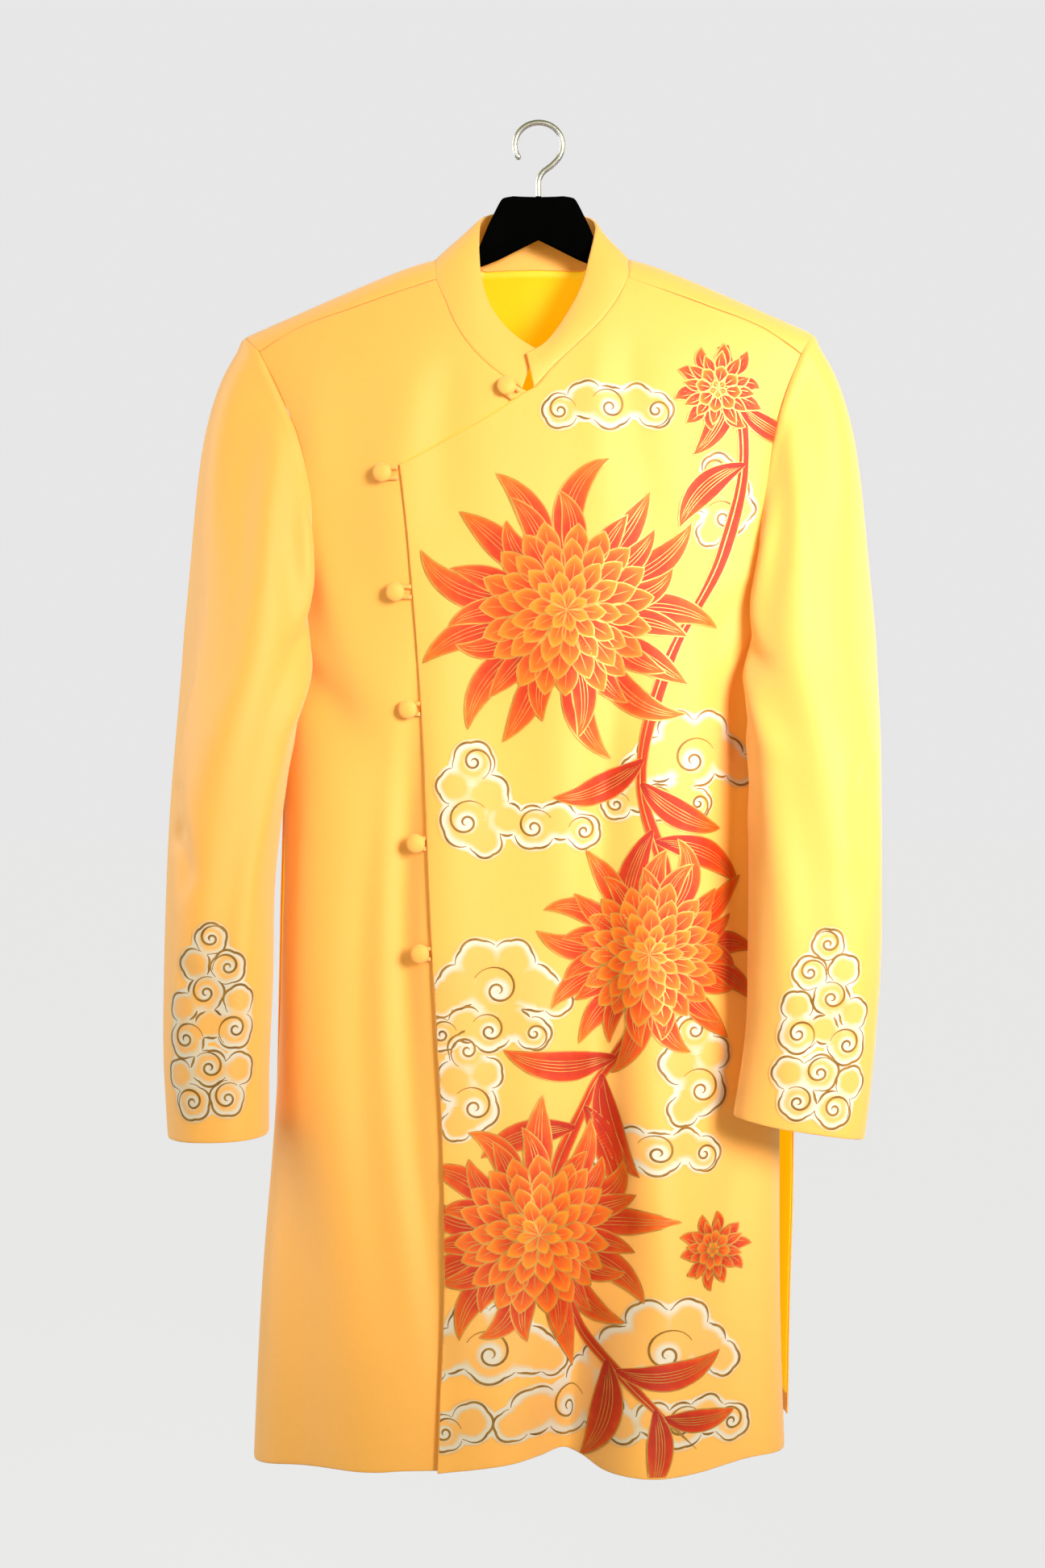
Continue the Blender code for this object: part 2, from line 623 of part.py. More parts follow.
def rest_on_side(points, side):
    """Sleeve points moved out where they would lie inside the garment's side."""
    out = points[..., 0] * side
    z = points[..., 2]
    y = points[..., 1]
    down = np.maximum(-z, 0.0)
    spread = 30.0 * step((down - VENT_TOP) / 520.0)
    depth = np.where(y < 0, 12.0 + 68.0 * (1.0 - np.exp(-down / FILL_HEIGHT)), 75.0) + 2.0 + spread
    share = np.clip(np.abs(y) / depth, 0.0, 1.0)
    reach = half_width(down, np.full_like(out, side), y < 0)
    edge = reach * np.maximum(1.0 - share ** 2.5, 0.0) ** 0.4 + REST_GAP
    over = (out - edge) / 2.0
    pushed = edge + 2.0 * np.where(over > 20.0, over, np.log1p(np.exp(np.minimum(over, 20.0))))
    result = np.array(points)
    result[..., 0] = side * np.where(share < 1.0, np.maximum(pushed, out), out)
    return result


def sleeve_ring(table, side, down, angle):
    """One ring of the sleeve at a distance below the neck point."""
    x, y = read(table, "down", "x", down), read(table, "down", "y", down)
    half_x, half_y = read(table, "down", "half_x", down), read(table, "down", "half_y", down)
    turn = np.radians(read(table, "down", "turn", down))
    rise = read(table, "down", "rise", down)
    a = np.radians(angle)
    out = half_x * np.sign(np.cos(a)) * np.abs(np.cos(a)) ** 0.9
    ahead = half_y * np.sign(np.sin(a)) * np.abs(np.sin(a)) ** 0.9
    px = side * (x + out * np.cos(turn) - ahead * np.sin(turn))
    py = y - (out * np.sin(turn) + ahead * np.cos(turn))
    pz = -down - rise * np.cos(a)
    return np.stack([px, py, np.broadcast_to(pz, px.shape)], -1)


def armhole_loop(front_arm, strip_side, back_arm, side):
    """Points round the armhole from the shoulder point, forward and down, and their way out."""
    to_seam = strip_side[1:FORWARD_ROWS + 1][::-1]
    behind = strip_side[FORWARD_ROWS + 1:]
    loop = np.concatenate([to_seam, front_arm, back_arm[1:-1][::-1], behind[::-1]])
    points = torso(loop[:, 0], loop[:, 1])
    normal = torso_normal(loop[:, 0], loop[:, 1])
    tangent = unit(np.roll(points, -1, axis=0) - np.roll(points, 1, axis=0))
    away = -unit(np.cross(tangent, normal)) * side
    return points, normal, away


def sleeve(name, table, side, front_arm, strip_side, back_arm):
    """A sleeve as one tube with a wall."""
    edge, normal, away = armhole_loop(front_arm, strip_side, back_arm, side)
    step_length = np.linalg.norm(np.diff(np.concatenate([edge, edge[:1]]), axis=0), axis=1)
    share = np.concatenate([[0.0], np.cumsum(step_length)[:-1]]) / step_length.sum()
    start = edge + away * (SEAM_GAP + read(CAP, "round", "stand", share))[:, None]
    angle = read(CAP, "round", "angle", share)
    leave = unit(np.stack([side * read(CAP, "round", "out", share), -read(CAP, "round", "ahead", share),
                           read(CAP, "round", "up", share)], -1))
    downs = table[1][0] + (table[-1][0] - table[1][0]) * np.linspace(0.0, 1.0, ARM_LENGTH_ROWS + 1)
    lower = np.stack([sleeve_ring(table, side, np.full(len(angle), d), angle) for d in downs])
    lower = rest_on_side(lower, side)
    target = lower[0]
    arrive = unit(lower[1] - lower[0])
    reach = np.linalg.norm(target - start, axis=1, keepdims=True)
    rings = []
    for t in np.linspace(0.0, 1.0, CAP_ROWS + 1)[:-1]:
        a = (1.0 + 2.0 * t) * (1.0 - t) ** 2
        b = t * (1.0 - t) ** 2
        c = t * t * (3.0 - 2.0 * t)
        d = t * t * (t - 1.0)
        rings.append(a * start + b * reach * leave + c * target + d * reach * arrive)
    rings = np.array(rings)
    below = step((-rings[..., 2] - 296.0) / 16.0)[..., None]
    rings = rings * (1.0 - below) + rest_on_side(rings, side) * below
    outer = np.concatenate([rings, lower])
    along_sleeve = np.gradient(outer, axis=0)
    around = np.roll(outer, -1, axis=1) - np.roll(outer, 1, axis=1)
    out = unit(np.cross(around, along_sleeve))
    centre = outer.mean(axis=1, keepdims=True)
    flip = np.sign(np.sum(out * (outer - centre), axis=(1, 2)))
    out = out * np.sign(flip.sum())
    tube_wall(name, outer, outer - out * CLOTH, CLOTH_LOOK)
    return outer, out


sleeve("sleeve_right", SLEEVE_LEFT, -1.0, left_arm, left_strip[:, -1], left_back_arm)
sleeve("sleeve_left", SLEEVE_RIGHT, 1.0, right_arm, right_strip[:, -1], right_back_arm)


# Stand collar, a band whose ends cross at the front and which leans in on the hanger

COLLAR_TOP = [
    ("x", "y", "z"),
    (2.4, -38.5, -80.5), (-8, -37, -74.5), (-17, -36, -67), (-27, -33, -56.6), (-34.6, -29.5, -43.7),
    (-39.8, -24, -28), (-42.4, -17, -9), (-42.8, -8, 12), (-42.0, 1, 24), (-36, 12, 30), (-20, 17.5, 34),
    (4, 18.5, 35), (28, 17.5, 34), (43, 12, 29), (49.5, 1, 23), (48.8, -8, 13), (45, -16, -3.4),
    (39.5, -23, -25.6), (31.5, -29.5, -43.7), (22.3, -34.5, -59), (11, -42, -74), (3.2, -46, -80.5),
    (-5.6, -48.5, -84.5),
]
COLLAR_WALL = 2.4
COLLAR_ROWS = 3
COLLAR_BULGE = 2.5

back_neck_line = np.concatenate([left_neck_side[1:], neck_middle[1:-1], right_neck_side[1:][::-1]])
base_line = np.concatenate([left_neck[::-1], back_neck_line, right_neck])
base_points = torso(base_line[:, 0], base_line[:, 1])
base_normal = torso_normal(base_line[:, 0], base_line[:, 1])
right_part = len(left_neck) + len(back_neck_line)
lift_base = np.zeros(len(base_line))
lift_base[right_part:] = over_lift(base_points[right_part:])
base_points = base_points + base_normal * (lift_base - COLLAR_WALL / 2.0)[:, None]
base_run = unit(np.gradient(base_points, axis=0))
inward = unit(np.cross(base_run, base_normal))
inward = inward * np.sign(np.sum(inward * (np.array([0.0, -10.0, -20.0]) - base_points), axis=1).sum())
base_points = base_points + inward * (SEAM_GAP + 0.4)
length = np.concatenate([[0.0], np.cumsum(np.linalg.norm(np.diff(base_points, axis=0), axis=1))])
top_fine = along(rows_of(COLLAR_TOP), 600)
top_share = np.linspace(0.0, 1.0, len(top_fine))
top_points = np.stack([np.interp(length / length[-1], top_share, top_fine[:, k]) for k in range(3)], 1)
band = []
for t in np.linspace(0.0, 1.0, COLLAR_ROWS + 1):
    band.append(base_points * (1.0 - t) + top_points * t)
band = np.array(band)
band_out = unit(np.cross(np.gradient(band, axis=1), np.gradient(band, axis=0)))
middle = np.array([2.0, -12.0, -20.0])
band_out = band_out * np.sign(np.sum(band_out * (band - middle)))
swell = np.sin(np.linspace(0.0, 1.0, COLLAR_ROWS + 1) * math.pi)[:, None, None] * COLLAR_BULGE
band = band + band_out * swell
sheet_solid("collar", band + band_out * COLLAR_WALL / 2.0, band - band_out * COLLAR_WALL / 2.0, CLOTH_LOOK)


# Covered buttons on shanks, each with a rouleau loop from the over front's edge

BUTTONS = [
    ("x", "z", "to_edge", "slope"),
    (-20.8, -111.9, 9.4, -42),
    (-117.3, -179.1, 11.7, 0),
    (-107.1, -272.0, 12.1, 0),
    (-98.0, -363.5, 9.3, 0),
    (-91.9, -468.9, 8.2, 0),
    (-88.4, -555.4, 8.6, 0),
]
BUTTON_PROFILE = [
    ("radius", "height"),
    (1.8, 0.5), (1.8, 4.7), (6.6, 4.8), (7.5, 6.2), (7.2, 7.8), (5.6, 9.3), (3.0, 10.2), (0.8, 10.5),
]
CORD_RADIUS = 1.7
CORD_BEND = 4.0


def body_point(x, z, height):
    """Point above the body surface at a front view position."""
    s, w = place(x, z)
    return torso(s, w) + torso_normal(s, w) * height


for number, (button_x, button_z, to_edge, slope) in enumerate(BUTTONS[1:], 1):
    s, w = place(np.array([button_x]), np.array([button_z]))
    foot, up = torso(s, w)[0], torso_normal(s, w)[0]
    sideways = unit(np.cross(up, (0.0, 0.0, 1.0)))
    upward = np.cross(sideways, up)
    turn = np.arange(12) * 2.0 * math.pi / 12
    rings = []
    for radius, height in BUTTON_PROFILE[1:]:
        rings.append(foot + up * height + radius * (np.cos(turn)[:, None] * sideways
                                                    + np.sin(turn)[:, None] * upward))
    solid_rings(f"button_{number}", rings, CLOTH_LOOK)
    bend = np.radians(np.linspace(90.0, 270.0, 8))
    straight = np.array([to_edge, to_edge * 0.5])
    ahead = np.concatenate([straight, CORD_BEND * np.cos(bend), straight[::-1]])
    across = np.concatenate([[CORD_BEND] * 2, CORD_BEND * np.sin(bend), [-CORD_BEND] * 2])
    lean = math.radians(slope)
    path_x = button_x + ahead * math.cos(lean) - across * math.sin(lean)
    path_z = button_z + ahead * math.sin(lean) + across * math.cos(lean)
    path = body_point(path_x, path_z, 0.5 + CORD_RADIUS)
    round_rod(f"loop_{number}", path, CORD_RADIUS, 6, CLOTH_LOOK)


# Hanger: neck plate and arms in one, and its wire hook

HANGER_MIDDLE = 4.3
HANGER_REACH = 203.0
PLATE = [
    ("out", "top", "bottom", "half_depth"),
    (0, 43, 9.4, 6.5), (12, 43.3, 3.5, 6.5), (25, 43, -3, 6.5), (29.5, 41, -5.2, 6.5), (32.5, 36, -6.6, 6.5),
    (36, 29, -8, 6.6), (40, 21, -9.6, 6.8), (44, 11.5, -11, 7.0), (49, 0, -13, 7.2), (56, -8, -16, 7.4),
]
ARM = [
    ("out", "drop", "height", "half_depth"),
    (56, 5.5, 11, 6.0), (80, 5.5, 15, 6.2), (120, 5.5, 18, 8), (160, 5.5, 21, 12), (190, 6.0, 22, 14.5),
    (203, 9.0, 17, 12),
]


def hanger_section(out, side):
    """One closed section of the hanger in the y and z plane."""
    x = HANGER_MIDDLE + side * out
    if out <= 56:
        top = read(PLATE, "out", "top", out)
        bottom = read(PLATE, "out", "bottom", out)
        deep = read(PLATE, "out", "half_depth", out)
        square = 0.45
    else:
        top = shoulder_height(x) - read(ARM, "out", "drop", out)
        bottom = top - read(ARM, "out", "height", out)
        deep = read(ARM, "out", "half_depth", out)
        square = 0.75
    turn = (np.arange(12) + 0.5) * 2.0 * math.pi / 12
    across = deep * np.sign(np.cos(turn)) * np.abs(np.cos(turn)) ** square
    height = (top + bottom) / 2.0 + (top - bottom) / 2.0 * np.sign(np.sin(turn)) * np.abs(np.sin(turn)) ** square
    return np.stack([np.full_like(across, x), across, height], -1)


arm_outs = [203, 196, 180, 155, 130, 105, 80, 65, 56, 49, 44, 40, 36, 32.5, 29.5, 25, 12]
sections = [hanger_section(out, -1.0) for out in arm_outs]
sections.append(hanger_section(0.0, 1.0))
sections += [hanger_section(out, 1.0) for out in reversed(arm_outs)]
solid_rings("hanger", sections, PLASTIC_LOOK)

WIRE_RADIUS = 2.3
HOOK_LINE = [
    ("x", "z"), (4.3, 43.15), (4.3, 50), (4.3, 56), (7.5, 62.5), (15, 68.5), (21.5, 76), (23.5, 84.5),
    (21, 93.5), (14, 100), (4.3, 102.3), (-5, 100), (-12, 93.5), (-14.7, 84.5), (-13.5, 78), (-10.5, 73),
]
hook_line = along(rows_of(HOOK_LINE), 26)
hook_path = np.stack([hook_line[:, 0], np.zeros(len(hook_line)), hook_line[:, 1]], 1)
round_rod("hanger_hook", hook_path, WIRE_RADIUS, 8, STEEL_LOOK)
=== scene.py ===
"""Looks of the ao dai on its hanger.

Sizes are in millimetres from the garment's neck points, x to the wearer's left, y away from
the viewer, z up, as in the CAD part. in_row turns them into metres from the hook. Pieces are
named by the wearer's side, like the CAD nodes. In the names of tables and lines, left is the
viewer's left, where x is below 0.
"""
import math

import bpy
import numpy as np
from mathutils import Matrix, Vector


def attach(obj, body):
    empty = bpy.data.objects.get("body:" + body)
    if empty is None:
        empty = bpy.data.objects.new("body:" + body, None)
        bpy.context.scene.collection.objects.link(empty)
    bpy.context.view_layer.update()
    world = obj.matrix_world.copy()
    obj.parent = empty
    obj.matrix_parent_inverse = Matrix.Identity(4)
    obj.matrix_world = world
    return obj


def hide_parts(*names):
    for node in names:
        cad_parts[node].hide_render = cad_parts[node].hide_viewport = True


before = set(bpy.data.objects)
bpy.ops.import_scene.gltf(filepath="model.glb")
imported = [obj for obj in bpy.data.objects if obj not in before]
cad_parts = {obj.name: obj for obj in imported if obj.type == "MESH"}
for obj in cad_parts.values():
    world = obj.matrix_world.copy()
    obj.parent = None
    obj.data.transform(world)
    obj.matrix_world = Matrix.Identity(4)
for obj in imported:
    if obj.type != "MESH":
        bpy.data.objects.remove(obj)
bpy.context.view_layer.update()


# The room: a pale floor below the hanging garment, a near white surround, a key light from the
# front right, a weak one on the left and a cool one from behind. The camera stands 2.6 m in front
# of the chest and looks a little down, as in the photo. Lengths of the room are in metres.

BACKDROP = 0.80
FILL = 0.82
FILL_TINT = (1.0, 0.93, 0.55, 1.0)
SEEN_TINT = (1.0, 0.998, 1.0, 1.0)
OVERHEAD_SHARE = 0.3
FLOOR_Z = -1.75
FLOOR_PAINT = (0.08, 0.081, 0.096, 1.0)
FLOOR_SEEN = BACKDROP - 0.036 * FILL
FLOOR_GLOW = 0.3
CAMERA_AT = (-0.01275, -2.600, -0.381)
CAMERA_DOWN = 3.2
CAMERA_LENS = 74.07
LAMPS = [
    ("name", "at", "towards", "size", "watts", "colour", "spread"),
    ("key_light", (1.3, -1.8, 0.15), (0.36, 0.0, -0.40), (1.0, 1.0), 8.3, (1.0, 0.985, 0.96), 38.0),
    ("rim_light", (-2.1, 0.5, 0.1), (0.0, 0.0, -0.5), (1.2, 2.0), 28.0, (0.9, 0.95, 1.0), 180.0),
    ("left_light", (-0.9, -1.5, -0.4), (0.25, 0.0, -0.5), (0.6, 0.9), 0.3, (1.0, 1.0, 1.0), 45.0),
]


def softbox(name, at, towards, size, watts, colour, spread):
    """A rectangular area light that looks at a point."""
    data = bpy.data.lights.new(name, "AREA")
    data.shape = "RECTANGLE"
    data.size, data.size_y = size
    data.energy = watts
    data.color = colour
    data.spread = math.radians(spread)
    lamp = bpy.data.objects.new(name, data)
    scene.collection.objects.link(lamp)
    lamp.location = at
    lamp.rotation_euler = (Vector(towards) - Vector(at)).to_track_quat("-Z", "Y").to_euler()


def plain_mesh(name, points, faces, smooth=True):
    """An object at the origin from arrays of points and of faces that all have as many corners."""
    points = np.asarray(points, np.float32).reshape(-1, 3)
    faces = np.asarray(faces, np.int32)
    mesh = bpy.data.meshes.new(name)
    mesh.vertices.add(len(points))
    mesh.vertices.foreach_set("co", points.ravel())
    sides = faces.shape[1]
    mesh.loops.add(faces.size)
    mesh.loops.foreach_set("vertex_index", faces.ravel())
    mesh.polygons.add(len(faces))
    mesh.polygons.foreach_set("loop_start", np.arange(len(faces), dtype=np.int32) * sides)
    mesh.polygons.foreach_set("use_smooth", np.full(len(faces), smooth))
    mesh.update(calc_edges=True)
    mesh.validate()
    made = bpy.data.objects.new(name, mesh)
    scene.collection.objects.link(made)
    return made


def set_inputs(node, **values):
    """Constants set on a node's inputs. Underscores in the names stand for spaces."""
    for label, value in values.items():
        node.inputs[label.replace("_", " ")].default_value = value


def feed(tree, socket, value):
    """Give an input its value: another node's output, or a constant."""
    if isinstance(value, bpy.types.NodeSocket):
        tree.links.new(value, socket)
    else:
        socket.default_value = value


def new_look(name):
    """A material. Returns it, its node tree and its shader."""
    look = bpy.data.materials.new(name)
    look.use_nodes = True
    return look, look.node_tree, look.node_tree.nodes["Principled BSDF"]


def mix_colours(tree, share, first, second, blend="MIX"):
    """A colour Mix node; share, first and second are sockets or values."""
    node = tree.nodes.new("ShaderNodeMix")
    node.data_type = "RGBA"
    node.blend_type = blend
    for place_in, value in ((0, share), (6, first), (7, second)):
        feed(tree, node.inputs[place_in], value)
    return node.outputs[2]


def seen_by_camera(tree, seen, unseen):
    """A strength with one value where the camera looks and another, perhaps linked, for light."""
    path = tree.nodes.new("ShaderNodeLightPath")
    strength = tree.nodes.new("ShaderNodeMix")
    tree.links.new(path.outputs["Is Camera Ray"], strength.inputs["Factor"])
    feed(tree, strength.inputs["B"], seen)
    feed(tree, strength.inputs["A"], unseen)
    return strength.outputs["Result"]


def dim_above(tree, level, overhead):
    """The surround's light by direction: full at the horizon, weaker towards the dark ceiling."""
    way = tree.nodes.new("ShaderNodeTexCoord")
    parts = tree.nodes.new("ShaderNodeSeparateXYZ")
    tree.links.new(way.outputs["Generated"], parts.inputs["Vector"])
    fall = tree.nodes.new("ShaderNodeMapRange")
    set_inputs(fall, From_Min=0.05, From_Max=0.8, To_Min=level, To_Max=overhead)
    tree.links.new(parts.outputs["Z"], fall.inputs["Value"])
    return fall.outputs["Result"]


scene = bpy.context.scene
scene.view_settings.view_transform = "Standard"
scene.world = bpy.data.worlds.new("surround")
scene.world.use_nodes = True
sky_tree = scene.world.node_tree
sky = sky_tree.nodes["Background"]
sky_path = sky_tree.nodes.new("ShaderNodeLightPath")
feed(sky_tree, sky.inputs["Color"],
     mix_colours(sky_tree, sky_path.outputs["Is Camera Ray"], FILL_TINT, SEEN_TINT))
feed(sky_tree, sky.inputs["Strength"],
     seen_by_camera(sky_tree, BACKDROP, dim_above(sky_tree, FILL, OVERHEAD_SHARE * FILL)))
for lamp_row in LAMPS[1:]:
    softbox(*lamp_row)

floor_corners = [(-14, -9, FLOOR_Z), (14, -9, FLOOR_Z), (14, 16, FLOOR_Z), (-14, 16, FLOOR_Z)]
floor = plain_mesh("floor", floor_corners, [(0, 1, 2, 3)], smooth=False)
floor_look, floor_tree, floor_shader = new_look("floor_paint")
set_inputs(floor_shader, Base_Color=FLOOR_PAINT, Roughness=1.0, Specular_IOR_Level=0.0,
           Emission_Color=(1.0, 1.0, 1.0, 1.0))
feed(floor_tree, floor_shader.inputs["Emission Strength"], seen_by_camera(floor_tree, FLOOR_SEEN, FLOOR_GLOW))
floor.data.materials.append(floor_look)

camera_data = bpy.data.cameras.new("camera")
camera_data.lens = CAMERA_LENS
camera_data.sensor_fit = "AUTO"
camera_data.sensor_width = 36.0
camera_data.clip_end = 60.0
camera = bpy.data.objects.new("camera", camera_data)
scene.collection.objects.link(camera)
camera.location = CAMERA_AT
camera.rotation_euler = (math.radians(90.0 - CAMERA_DOWN), 0.0, 0.0)
scene.camera = camera


# The body of the garment as one surface, 450 mm across the shoulders and 960 mm from the neck point
# to the hem, on which the CAD panels lie: s runs across from -1 to 1 at the side seams, w runs
# down from the top of the shoulder, positive down the front and negative down the back.

HANG_POINT = np.array([4.3, 0.0, 100.0])
CLOTH = 1.5
SEAM_GAP = 0.5
LAYER_GAP = 1.2
FREE_EDGE_GAP = 3.5
VENT_TOP = 520.0
SECTION_POWER = 0.8
ACROSS_SCALE = 230.0
FRONT_DEPTH = 80.0
BACK_DEPTH = 76.0
FILL_HEIGHT = 110.0
SHOULDER_DROP = 0.445
SHOULDER_ROUNDING = 30.0
NECK_HALF_WIDTH = 78.0
LEVEL_BELOW = 330.0
VENT_SPREAD = 29.9
VENT_RUN = 520.0
OVAL_BELOW = 150.0
RIDGE_AT_NECK = 12.0
RIDGE_GROWTH = 10.0
CREASES_FROM = 40.0

HALF_WIDTH = [
    ("down", "left_front", "left_back", "right_front", "right_back"),
    (0, 229.4, 229.4, 222.4, 222.4), (60, 221, 221, 215, 215), (120, 212, 212, 208, 208),
    (180, 205, 205, 202, 202), (240, 200.5, 200.5, 199, 199), (300, 198, 198, 197.5, 197.5),
    (370, 199, 199, 198, 198), (445, 202, 202, 200, 200), (505, 203.7, 203.5, 201, 201.5),
    (565, 205.6, 204, 200.5, 206), (640, 209.5, 206, 200, 211), (740, 214.7, 210, 199, 213),
    (870, 221, 215, 200, 211.5), (975, 225.5, 220, 203.5, 210.5),
]
FRONT_FOLDS = [
    ("top_x", "hem_x", "top_width", "hem_width", "start", "full", "depth"),
    (74, 28, 26, 23, 330, 960, 46), (112, 88, 24, 26, 330, 960, -14), (156, 168, 14, 20, 260, 960, 9),
    (-172, -186, 16, 16, 480, 960, 5), (-128, -128, 22, 26, 560, 960, -7),
]
BACK_FOLDS = [
    ("top_x", "hem_x", "top_width", "hem_width", "start", "full", "depth"),
    (-60, -48, 28, 30, 380, 960, -22), (66, 84, 26, 28, 420, 960, -18), (8, 16, 26, 26, 400, 960, 9),
    (-150, -140, 22, 24, 420, 960, 7),
]


def in_row(points):
    """Points in the row's frame, in metres."""
    return (np.asarray(points, float) - HANG_POINT) * 0.001


def step(value):
    """Smooth rise from 0 to 1 as value goes from 0 to 1."""
    t = np.clip(value, 0.0, 1.0)
    return t * t * (3.0 - 2.0 * t)


def unit(vectors):
    """Vectors made one long."""
    return vectors / np.maximum(np.linalg.norm(vectors, axis=-1, keepdims=True), 1e-9)


def column(table, name):
    """One named column of a table whose first row holds the names."""
    at = table[0].index(name)
    return np.array([row[at] for row in table[1:]], float)


def cubic(t, start, end, start_slope, end_slope):
    """Point at t from 0 to 1 on the cubic curve between two points with the given slopes."""
    return ((1.0 + 2.0 * t) * (1.0 - t) ** 2 * start + t * (1.0 - t) ** 2 * start_slope
            + t * t * (3.0 - 2.0 * t) * end + t * t * (t - 1.0) * end_slope)


def run_along(points):
    """Distance along a line of points, from its first point to each of them."""
    return np.concatenate([[0.0], np.cumsum(np.linalg.norm(np.diff(points, axis=0), axis=1))])


def smooth_line(ys, xs, slope, at):
    """Value at at of the cubic curve through ys at xs with the given slopes."""
    i = np.clip(np.searchsorted(xs, at, side="right") - 1, 0, len(xs) - 2)
    width = xs[i + 1] - xs[i]
    t = (at - xs[i]) / width
    if ys.ndim > 1:
        width, t = width[:, None], t[:, None]
    return cubic(t, ys[i], ys[i + 1], width * slope[i], width * slope[i + 1])


def read(table, key, name, at):
    """Value of a column at the given key values, on a smooth curve through the rows."""
    xs, ys = column(table, key), column(table, name)
    at = np.clip(np.asarray(at, float), xs[0], xs[-1])
    return smooth_line(ys, xs, np.gradient(ys, xs), at)


def along(points, count):
    """Points evenly spaced along a smooth line through the given points."""
    pts = np.asarray(points, float)
    run = run_along(pts)
    fine = np.linspace(0.0, run[-1], 40 * len(pts))
    curve = smooth_line(pts, run, np.gradient(pts, run, axis=0), fine)
    length = run_along(curve)
    even = np.linspace(0.0, length[-1], count + 1)
    return np.stack([np.interp(even, length, curve[:, k]) for k in range(pts.shape[1])], 1)


def shoulder_height(x):
    """Height of the shoulder line over a distance from the middle."""
    past = np.abs(x) - NECK_HALF_WIDTH
    return -SHOULDER_DROP * (np.sqrt(past ** 2 + SHOULDER_ROUNDING ** 2) + past) / 2.0


def level_out(down):
    """How much of the shoulder's slope is left at a distance below it."""
    return 1.0 - step(down / LEVEL_BELOW)


def ridge_radius(across):
    """Roundness of the shoulder's top: narrow at the neck, wider at the sleeve."""
    return RIDGE_AT_NECK + RIDGE_GROWTH * step((np.abs(across) - 0.35) / 0.6)


def half_width(down, across, front):
    """Half the garment's width at a distance below the shoulder line, on each side."""
    left, right = (np.where(front, read(HALF_WIDTH, "down", side + "_front", down),
                            read(HALF_WIDTH, "down", side + "_back", down)) for side in ("left", "right"))
    blend = 0.5 + 0.5 * np.tanh(across * 4.0)
    return left * (1.0 - blend) + right * blend


def fold_depth(table, x, down):
    """Depth of the long soft folds: a bell across, growing with the 1.5th power of the way down."""
    total = np.zeros_like(x)
    for top_x, hem_x, top_width, hem_width, start, full, depth in table[1:]:
        grow = np.clip((down - start) / (full - start), 0.0, 1.15)
        middle = top_x + (hem_x - top_x) * grow
        width = top_width + (hem_width - top_width) * grow
        total = total + depth * grow ** 1.5 * np.exp(-0.5 * ((x - middle) / width) ** 2)
    return total


def torso(s, w):
    """Points of the body surface: a flattened oval whose ridge is rounded, filled out below the
    shoulders, spread a little from the vents down, with the long folds added."""
    s, w = np.broadcast_arrays(np.asarray(s, float), np.asarray(w, float))
    angle = s * math.pi / 2.0
    across = np.sign(s) * np.abs(np.sin(angle)) ** SECTION_POWER
    forward = np.maximum(np.cos(angle), 0.0) ** SECTION_POWER
    radius = ridge_radius(across)
    arc = np.minimum(np.abs(w), radius * math.pi / 2.0)
    down = radius * (1.0 - np.cos(arc / radius)) + (np.abs(w) - arc)
    front = w > 0
    x = half_width(down, across, front) * across
    z = shoulder_height(x) * level_out(down) - down
    depth = np.where(front, FRONT_DEPTH, BACK_DEPTH)
    round_part = radius * np.sin(arc / radius) * (1.0 + (forward - 1.0) * step(down / OVAL_BELOW))
    fill_out = (depth - radius) * (1.0 - np.exp(-down / FILL_HEIGHT)) * forward
    spread = VENT_SPREAD * step((down - VENT_TOP) / VENT_RUN)
    away = round_part + fill_out + spread
    front_y = -away + fold_depth(FRONT_FOLDS, x, down)
    back_y = away + fold_depth(BACK_FOLDS, x, down)
    return np.stack([x, np.where(front, front_y, back_y), z], -1)


def torso_normal(s, w):
    """Outward normals of the body surface."""
    low, high = np.clip(s - 0.002, -1.0, 1.0), np.clip(s + 0.002, -1.0, 1.0)
    by_s = torso(high, w) - torso(low, w)
    by_w = torso(s, w + 0.8) - torso(s, w - 0.8)
    return unit(np.cross(by_w, by_s))


def place(x, z, front=True):
    """s and w of the body surface at a front view position, settled step by step."""
    x, z = np.asarray(x, float), np.asarray(z, float)
    down = np.maximum(-z + shoulder_height(x) * 0.6, 0.0)
    for _ in range(60):
        down = np.maximum(down * 0.4 + (shoulder_height(x) * level_out(down) - z) * 0.6, 0.0)
    across = np.clip(x / 200.0, -1.0, 1.0)
    for _ in range(8):
        across = np.clip(x / half_width(down, across, front), -1.0, 1.0)
    s = np.sign(x) * 2.0 / math.pi * np.arcsin(np.abs(across) ** (1.0 / SECTION_POWER))
    radius = ridge_radius(across)
    arc = radius * np.arccos(np.clip(1.0 - down / radius, 0.0, 1.0))
    w = np.where(down < radius, arc, radius * math.pi / 2.0 + down - radius)
    return s, np.where(front, w, -w)


# Creases over the body: soft troughs and ridges from a pull, a seam or the way it hangs. Each row
# is a line in the front view (from, to), its width at both ends and its height, below 0 a trough.
# CREASE_SCALE makes them higher than on thin cloth, so that they show in the soft light.

